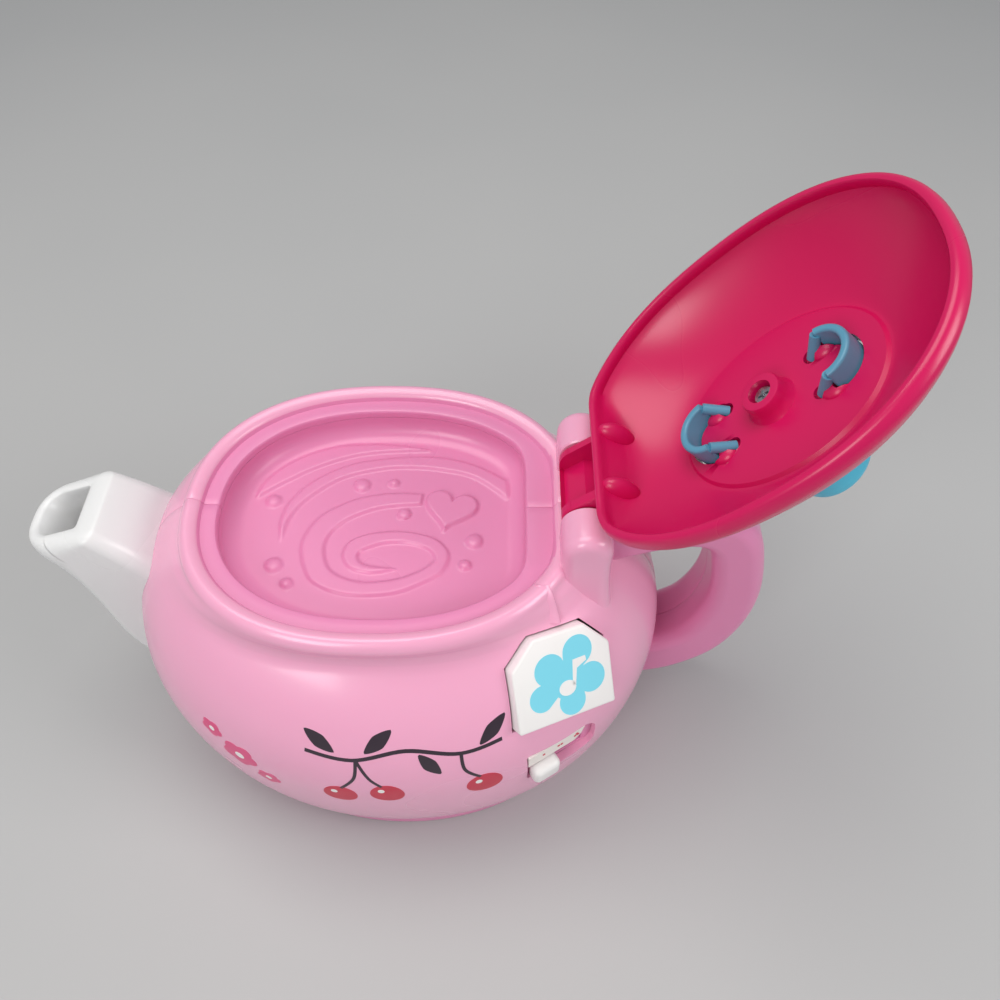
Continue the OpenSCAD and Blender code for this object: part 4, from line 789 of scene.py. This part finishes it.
for side in (-1, 1):
    combine(lid_dome, pad("gusset", (38.8, side * 9.0, 100.2), (3.9, 2.9, 6.4)), "UNION")
    for end in (-1, 1):
        cheek_x = boss_x + side * (clip_offset - 0.6)
        combine(lid_dome, pad("cheek", (cheek_x, end * 6.2, lid_inner_z), (3.6, 3.4, 2.4)), "UNION")
for side in (-1, 1):
    combine(lid_dome, clip_bow("clip_slot", side, clip_slot_gap), "DIFFERENCE")
    for end in (-1, 1):
        hole_x = boss_x + side * (clip_offset - prong_reach)
        combine(lid_dome, rod("prong_hole", (hole_x, end * 5.6, 104), (hole_x, end * 5.6, 111.5), 1.9, 24), "DIFFERENCE")
lid_magenta, shader = new_material("lid_magenta")
tint(lid_magenta, grain(lid_magenta, 9, 1), from_screen(203, 10, 84), from_screen(208, 14, 91),
     shader.inputs["Base Color"])
vary(lid_magenta, grain(lid_magenta, 18, 1), 0.24, 0.36, shader.inputs["Roughness"])
lid_dome.data.materials.append(lid_magenta)
placed(lid_dome, opened)
smooth(lid_dome)
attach(lid_dome, "lid")
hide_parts("lid")


# Lid knob: a five-petal flower in sky-blue plastic on a round stem, drawn down by a screw from inside the lid.
# Two curved clips reach through the lid's slots, and their prongs bend back towards the boss.
petal_count, petal_pitch, petal_radius, knob_z, petal_height, petal_round = 5, 14.0, 9.5, 116.5, 8.0, 2.2


def petal_reach(turn):
    """Reach of the flower outline at a turn: the far side of the nearest petal."""
    angle = (2 * math.pi * turn - math.pi) % (2 * math.pi / petal_count)
    angle = min(angle, 2 * math.pi / petal_count - angle)
    hidden = petal_radius**2 - (petal_pitch * math.sin(angle)) ** 2
    return petal_pitch * math.cos(angle) + math.sqrt(max(hidden, 0.0))


def knob_point(row, turn):
    inset, z = row
    reach = (petal_reach(turn) - inset) if inset < 12 else 20.0 - inset
    angle = 2 * math.pi * turn
    return Vector((boss_x + reach * math.cos(angle), reach * math.sin(angle), z)) * mm


petal_edge = [(petal_round * (1 - math.cos(a)), petal_round * (1 - math.sin(a))) for a in
              (math.radians(15 * k) for k in range(7))]
lid_knob = loft("flower_knob", [
    (12.2, lid_top_z + 0.02), (12.2, knob_z),
    *((inset, knob_z + fall) for inset, fall in reversed(petal_edge)),
    *((inset, knob_z + petal_height - fall) for inset, fall in petal_edge),
    (6.0, knob_z + petal_height - 0.3),
], knob_point, 180)
for number in range(petal_count):
    angle = math.pi + 2 * math.pi * number / petal_count
    x, y = boss_x + petal_pitch * math.cos(angle), petal_pitch * math.sin(angle)
    bpy.ops.object.select_all(action="DESELECT")
    bpy.ops.mesh.primitive_uv_sphere_add(segments=48, ring_count=24, radius=12 * mm,
                                         location=Vector((x, y, knob_z + petal_height + 12 - 2.0)) * mm)
    bpy.ops.object.transform_apply(location=True, rotation=True, scale=True)
    combine(lid_knob, bpy.context.object, "DIFFERENCE")


knob_blue, shader = new_material("knob_blue")
tint(knob_blue, grain(knob_blue, 9, 1), from_screen(72, 176, 205), from_screen(80, 184, 212), shader.inputs["Base Color"])
vary(knob_blue, grain(knob_blue, 18, 1), 0.25, 0.35, shader.inputs["Roughness"])
# The clips are the knob's own sky-blue plastic; this darker, greyer copy of the knob's blue is painted shade for the
# clips that sit down in the lid's slots.
clip_blue, shader = new_material("clip_blue")
tint(clip_blue, grain(clip_blue, 9, 1), from_screen(86, 150, 178), from_screen(94, 158, 186), shader.inputs["Base Color"])
vary(clip_blue, grain(clip_blue, 18, 1), 0.3, 0.4, shader.inputs["Roughness"])
lid_knob.data.materials.append(knob_blue)
for side in (-1, 1):
    clip = clip_bow("clip", side, 0)
    for end in (-1, 1):
        start_x, end_x = boss_x + side * (clip_offset + 0.6), boss_x + side * (clip_offset - prong_reach)
        combine(clip, rod("prong", (start_x, end * 6.4, clip_low + 1.4), (end_x, end * 5.6, lid_inner_z + 0.2), 1.35, 24), "UNION")
    # The clips take the shaded copy of the knob's blue: painted shade, not a plastic of their own.
    clip.data.materials.append(clip_blue)
    lid_knob = joined([lid_knob, clip])
placed(lid_knob, opened)
smooth(lid_knob)
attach(lid_knob, "lid")
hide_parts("lid_knob")


# Tag: a white tea-bag tag that is pressed into the shoulder, with a moulded string up to the lip.
# Its printed flower and note are thin layers of paint on the face.
tag_proud, tag_base, tag_round, paint = 1.6, -4.0, 0.7, 0.04
tag_plate = prism("tag_plate", tag_outline(0), tag_base, tag_proud)
work_on(tag_plate)
tag_ease = tag_plate.modifiers.new("ease", "BEVEL")
tag_ease.width = tag_round * mm
tag_ease.segments = 4
tag_ease.limit_method = "ANGLE"
bpy.ops.object.modifier_apply(modifier="ease")
tag_white, shader = new_material("tag_white")
tint(tag_white, grain(tag_white, 60, 3), from_screen(236, 233, 231), from_screen(242, 240, 238), shader.inputs["Base Color"])
vary(tag_white, grain(tag_white, 150, 3), 0.3, 0.42, shader.inputs["Roughness"])
tag_plate.data.materials.append(tag_white)
placed(tag_plate, tag_frame)
smooth(tag_plate)
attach(tag_plate, "tag")
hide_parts("tag_button")

string_path = through([(40.2, -26.0, 94.2), (41.4, -28.2, 92.0), (42.6, -30.2, 88.2), (43.4, -32.0, 85.6)], 6)
string_half = (1.9, 0.7)


def string_point(row, turn):
    angle = 2 * math.pi * turn
    rise = string_half[1] * math.sin(angle)
    return (Vector(row) + Vector((string_half[0] * math.cos(angle), -rise, rise))) * mm


tag_string = loft("tag_string", string_path, string_point, 24)
tag_string.data.materials.append(shell_pink)
smooth(tag_string)
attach(tag_string, "pot")

flower_middle = (1.2, -1.6)
flower_petals = [(4.6, 5.6, 4.4), (-4.0, 2.8, 4.4), (-7.0, -4.2, 3.7), (1.6, -7.6, 3.9), (7.8, -2.8, 4.2)]
flower_heart = 5.2


def ray_reach(direction, middle, discs):
    """How far a ray from the middle runs before it leaves the last disc."""
    best = flower_heart
    for x, y, radius in discs:
        along = (x - middle[0]) * direction[0] + (y - middle[1]) * direction[1]
        aside = (x - middle[0]) * direction[1] - (y - middle[1]) * direction[0]
        if along > 0 and abs(aside) < radius:
            best = max(best, along + math.sqrt(radius**2 - aside**2))
    return best


flower_lines = [(math.cos(2 * math.pi * k / 180), math.sin(2 * math.pi * k / 180)) for k in range(180)]
flower_outline = [(flower_middle[0] + c * ray_reach((c, s), flower_middle, flower_petals),
                   flower_middle[1] + s * ray_reach((c, s), flower_middle, flower_petals)) for c, s in flower_lines]
note_head = [(0.6 + 2.5 * math.cos(2 * math.pi * k / 40), -3.6 + 2.1 * math.sin(2 * math.pi * k / 40)) for k in range(40)]
note_stem = [(2.2, -3.4), (3.1, -3.4), (3.9, 1.0), (6.9, 2.4), (6.7, 3.7), (2.9, 3.6)]
flower_blue, shader = new_material("flower_blue")
tint(flower_blue, grain(flower_blue, 18, 1), from_screen(122, 212, 232), from_screen(132, 220, 238), shader.inputs["Base Color"])
vary(flower_blue, grain(flower_blue, 200, 3), 0.35, 0.45, shader.inputs["Roughness"])
for print_name, outline, layer, ink in (("tag_flower", flower_outline, 1, flower_blue), ("tag_note_head", note_head, 2, tag_white),
                                        ("tag_note_stem", note_stem, 2, tag_white)):
    layer_print = prism(print_name, outline, tag_proud - 0.2, tag_proud + paint * layer)
    layer_print.data.materials.append(ink)
    placed(layer_print, tag_frame)
    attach(layer_print, "tag")


# Slide switches: one for the play stage at the front and the power switch at the back, each in a window.
# A rounded white knob runs in a slot of the pink plate; the front plate also carries a cream label with dots.
knob_size, knob_low_z, knob_high_z, knob_y, knob_ease = (8.4, 7.0), -2.5, 2.3, -3.4, 1.7
label_low_z, label_z, label_thick = -2.7, -1.1, 0.12


def slide_knob(name, rest_x):
    w, h = knob_size[0] / 2, knob_size[1] / 2
    knob = block_between(name, (rest_x - w, knob_y - h, knob_low_z), (rest_x + w, knob_y + h, knob_high_z))
    knob.data.name = name
    work_on(knob)
    ease = knob.modifiers.new("ease", "BEVEL")
    ease.width = knob_ease * mm
    ease.segments = 6
    bpy.ops.object.modifier_apply(modifier="ease")
    knob.data.materials.append(tag_white)
    smooth(knob)
    return knob


for knob_name, travel, switch_frame, body, node in (
        ("stage_knob", stage_travel, stage_frame, "stage", "stage_slider"),
        ("power_knob", power_travel, power_frame, "power", "power_slider")):
    knob = placed(slide_knob(knob_name, -travel / 2), switch_frame)
    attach(knob, body)
    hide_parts(node)

label_paper, shader = new_material("label_paper")
tint(label_paper, grain(label_paper, 18, 1), from_screen(238, 228, 224), from_screen(244, 236, 230), shader.inputs["Base Color"])
vary(label_paper, grain(label_paper, 200, 3), 0.45, 0.6, shader.inputs["Roughness"])
berry_ink, shader = new_material("berry_ink")
tint(berry_ink, grain(berry_ink, 150, 3), from_screen(196, 38, 66), from_screen(206, 46, 74), shader.inputs["Base Color"])
vary(berry_ink, grain(berry_ink, 220, 3), 0.35, 0.45, shader.inputs["Roughness"])
label_outline = [(-10.8, 6.9), (-10.8, 0.9), (4.2, 0.9), (6.2, 3.2), (7.2, 6.9)]
label = placed(prism("stage_label", label_outline, label_low_z, label_z + label_thick), stage_frame)
label.data.materials.append(label_paper)
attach(label, "pot")
for number, dot_x in enumerate((-6.0, -1.2, -0.2, 4.2, 5.2, 4.7)):
    dot_y = 4.0 + (0.9 if number == 5 else 0.0)
    dot = placed(rod("stage_dot_%d" % (number + 1), (dot_x, dot_y, label_z), (dot_x, dot_y, label_z + 2 * label_thick), 0.42, 20), stage_frame)
    dot.data.name = dot.name
    dot.data.materials.append(berry_ink)
    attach(dot, "pot")


# Prints on the belly: a sprig of cherries at the front and a few blossoms beside the spout.
# Each print is a thin layer of ink laid on the shell, with its edge turned down into the plastic.
ink_lift, ink_sink = 0.06, 0.25
plum_ink, shader = new_material("plum_ink")
tint(plum_ink, grain(plum_ink, 150, 3), from_screen(46, 34, 46), from_screen(54, 40, 52), shader.inputs["Base Color"])
vary(plum_ink, grain(plum_ink, 220, 3), 0.3, 0.4, shader.inputs["Roughness"])
rose_ink, shader = new_material("rose_ink")
tint(rose_ink, grain(rose_ink, 150, 3), from_screen(222, 70, 126), from_screen(228, 80, 134), shader.inputs["Base Color"])
vary(rose_ink, grain(rose_ink, 220, 3), 0.3, 0.4, shader.inputs["Roughness"])


def on_belly(x, z, lift):
    return Vector((x, -wall_y(x, z) - lift, z)) * mm


def belly_print(name, reach, place, ink, lift=ink_lift):
    """A print whose edge lies at reach(turn) from its middle."""
    def print_point(row, turn):
        share, height = row
        angle, far = 2 * math.pi * turn, share * reach(turn)
        return on_belly(place[0] + far * math.cos(angle), place[1] + far * math.sin(angle), height)
    made = loft(name, [(1.0, -ink_sink), (1.0, lift)] + [(k / 5, lift) for k in range(4, -1, -1)], print_point, 60, ends=False)
    made.data.materials.append(ink)
    smooth(made)
    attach(made, "pot")


def leaf(length, width, aim):
    """Reach of a pointed leaf that lies along its aim."""
    def reach(turn):
        c, s = math.cos(2 * math.pi * turn - aim), math.sin(2 * math.pi * turn - aim)
        return 1 / ((abs(c) / length) ** 1.35 + (abs(s) / width) ** 1.35) ** (1 / 1.35)
    return reach


def blossom(radius):
    return lambda turn: radius * (0.78 + 0.22 * abs(math.cos(2.5 * 2 * math.pi * turn + math.pi / 4)))


def stem_print(name, points, width):
    path = through(points, 8)

    def stem_point(number, turn):
        before, after = Vector(path[max(number - 1, 0)]), Vector(path[min(number + 1, len(path) - 1)])
        ahead = (after - before).normalized()
        angle = 2 * math.pi * turn
        x, z = Vector(path[number]) + Vector((-ahead.y, ahead.x)) * width * math.cos(angle)
        return on_belly(x, z, ink_lift if math.sin(angle) > -0.1 else -ink_sink)
    made = loft(name, range(len(path)), stem_point, 8)
    made.data.materials.append(plum_ink)
    smooth(made)
    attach(made, "pot")


stem_print("sprig_stem", [(-20, 66), (-8, 64.5), (6, 67.5), (20, 65.0), (30.5, 66.4)], 0.55)
stem_print("cherry_stem_1", [(-7, 64.6), (-8, 58), (-12, 52.5)], 0.45)
stem_print("cherry_stem_2", [(-7, 64.6), (-4, 58), (-1, 54.5)], 0.45)
stem_print("cherry_stem_3", [(20, 65.0), (21, 59), (25, 54.5)], 0.45)
for number, (x, z, radius) in enumerate(((-12.6, 48.6, 4.6), (0.2, 50.6, 4.6), (26.0, 50.4, 4.8))):
    belly_print("cherry_%d" % (number + 1), lambda turn: radius, (x, z), berry_ink)
    belly_print("cherry_glint_%d" % (number + 1), lambda turn: 0.9, (x - 1.5, z + 1.7), tag_white, 2 * ink_lift)
for number, (x, z, length, aim) in enumerate(((-16, 69.2, 4.6, 2.5), (-1, 69.8, 4.8, 0.7), (12, 62.6, 4.6, -0.9), (28, 69.6, 4.6, 0.8))):
    belly_print("leaf_%d" % (number + 1), leaf(length, 1.9, aim), (x, z), plum_ink)
for number, (x, z, radius) in enumerate(((-40, 54, 5.0), (-33, 47, 3.4), (-47, 60, 3.0))):
    belly_print("blossom_%d" % (number + 1), blossom(radius), (x, z), rose_ink)
    belly_print("blossom_heart_%d" % (number + 1), lambda turn: radius * 0.26, (x, z), tag_white, 2 * ink_lift)


# Base: the foot ring and floor in the deeper pink, screwed to the shells from below.
# The battery door closes its opening, and a round of holes lets the speaker sound through.
base_half, base_top_z, base_ease, foot_ring, base_wall = (65.5, 56.8), 10.0, 1.1, 5.0, 5.3
base_floor_z, base_floor_top = 1.4, 4.4
door_x, door_half, door_lug = 19.0, (24.4, 30.5), (41.4, 53.8, 6.2)
base_screw_x, base_screw_y, base_screw_r = 50.0, 24.0, 2.65
speaker_x, grille_pitch, grille_r = -32.5, 6.2, 1.2


def base_row(inset, z):
    return oval_row((base_half[0] - inset, base_half[1] - inset), 0, belly_n, z)


ease_turns = [math.radians(15 * k) for k in range(7)]
base_ring = loft("base_ring", [
    shrunk_row(base_row(foot_ring, base_floor_z), 0),
    base_row(foot_ring, base_floor_z),
    base_row(foot_ring, 0.3),
    base_row(foot_ring - 0.3, 0),
    *(base_row(base_ease * (1 - math.sin(a)), base_ease * (1 - math.cos(a))) for a in ease_turns),
    *(base_row(base_ease * (1 - math.cos(a)), base_top_z - 0.06 - base_ease * (1 - math.sin(a))) for a in ease_turns),
    base_row(base_wall, base_top_z - 0.06),
    base_row(base_wall, base_floor_top),
    shrunk_row(base_row(base_wall, base_floor_top), 0),
], oval_point, shell_sides, ends=False)
combine(base_ring, block_between("door_hole", (door_x - door_half[0], -door_half[1], -1), (door_x + door_half[0], door_half[1], 8)), "DIFFERENCE")
combine(base_ring, block_between("lug_hole", (door_lug[0], -door_lug[2], -1), (door_lug[1], door_lug[2], 3.3)), "DIFFERENCE")
holes = [rod("base_hole", (x, y, -1), (x, y, 5), base_screw_r, 24)
         for x in (-base_screw_x, base_screw_x) for y in (-base_screw_y, base_screw_y)]
for ring, count in ((0, 1), (1, 6), (2, 12)):
    for k in range(count):
        angle = 2 * math.pi * k / count
        x, y = speaker_x + grille_pitch * ring * math.cos(angle), grille_pitch * ring * math.sin(angle)
        holes.append(rod("base_hole", (x, y, -1), (x, y, 8), grille_r, 20))
combine(base_ring, joined(holes), "DIFFERENCE")
base_ring.data.materials.append(deep_pink)
smooth(base_ring)
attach(base_ring, "pot")
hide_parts("base")


# Finishes of the pieces that keep their packed form: screws, pin, cells, speaker, boards and switches.
# Metals get brushed gloss, boards a solder-green tone, and paper, rubber and wraps their own grain.
def plain_finish(name, light, dark, gloss, metal=0.0, scale=60, stretch=(1, 1, 1)):
    material, shader = new_material(name)
    tint(material, grain(material, scale, 4, stretch), from_screen(*light), from_screen(*dark), shader.inputs["Base Color"])
    vary(material, grain(material, 4 * scale, 3, stretch), *gloss, shader.inputs["Roughness"])
    shader.inputs["Metallic"].default_value = metal
    return material


steel = plain_finish("bright_steel", (196, 198, 202), (170, 172, 178), (0.2, 0.36), 1.0, 300, (1, 1, 6))
brass = plain_finish("contact_brass", (205, 176, 104), (186, 156, 86), (0.25, 0.4), 1.0, 300)
board_green = plain_finish("board_green", (34, 96, 62), (42, 110, 70), (0.35, 0.5))
speaker_black = plain_finish("speaker_black", (34, 34, 36), (46, 46, 48), (0.45, 0.6))
cone_paper = plain_finish("cone_paper", (58, 54, 52), (72, 68, 64), (0.7, 0.85), 0.0, 200)
dome_rubber = plain_finish("dome_rubber", (196, 192, 186), (182, 178, 172), (0.55, 0.7))
cell_wrap = plain_finish("cell_wrap", (58, 66, 78), (70, 78, 92), (0.3, 0.42))
magnet_steel = plain_finish("magnet_steel", (120, 120, 124), (102, 102, 108), (0.35, 0.5), 1.0)
lamp_clear = plain_finish("lamp_clear", (236, 238, 240), (228, 230, 234), (0.08, 0.15))
chip_black = plain_finish("chip_black", (24, 24, 26), (36, 36, 38), (0.4, 0.55))
finishes = {
    "shell_screws": steel, "handle_screws": steel, "base_screws": steel, "battery_door_screw": steel,
    "speaker_screws": steel, "board_screws": steel, "switch_screws": steel, "lid_knob_screw": steel,
    "hinge_pin": steel, "tilt_ball": steel, "battery_springs": steel, "battery_contacts": brass,
    "battery_1": cell_wrap, "battery_2": cell_wrap, "battery_3": cell_wrap, "battery_door": deep_pink,
    "speaker_frame": speaker_black, "speaker_clamp": speaker_black, "speaker_cone": cone_paper,
    "speaker_magnet": magnet_steel, "circuit_board": board_green, "spout_lamp_board": board_green,
    "tag_switch_board": board_green, "sound_chip": chip_black, "board_parts": chip_black,
    "stage_switch": steel, "power_switch": steel, "stage_plate": deep_pink, "power_plate": deep_pink,
    "tag_spring": dome_rubber, "spout_lamp": lamp_clear, "tilt_can": speaker_black,
}
for node, finish in finishes.items():
    mesh = bpy.data.objects[node].data
    mesh.materials.clear()
    mesh.materials.append(finish)
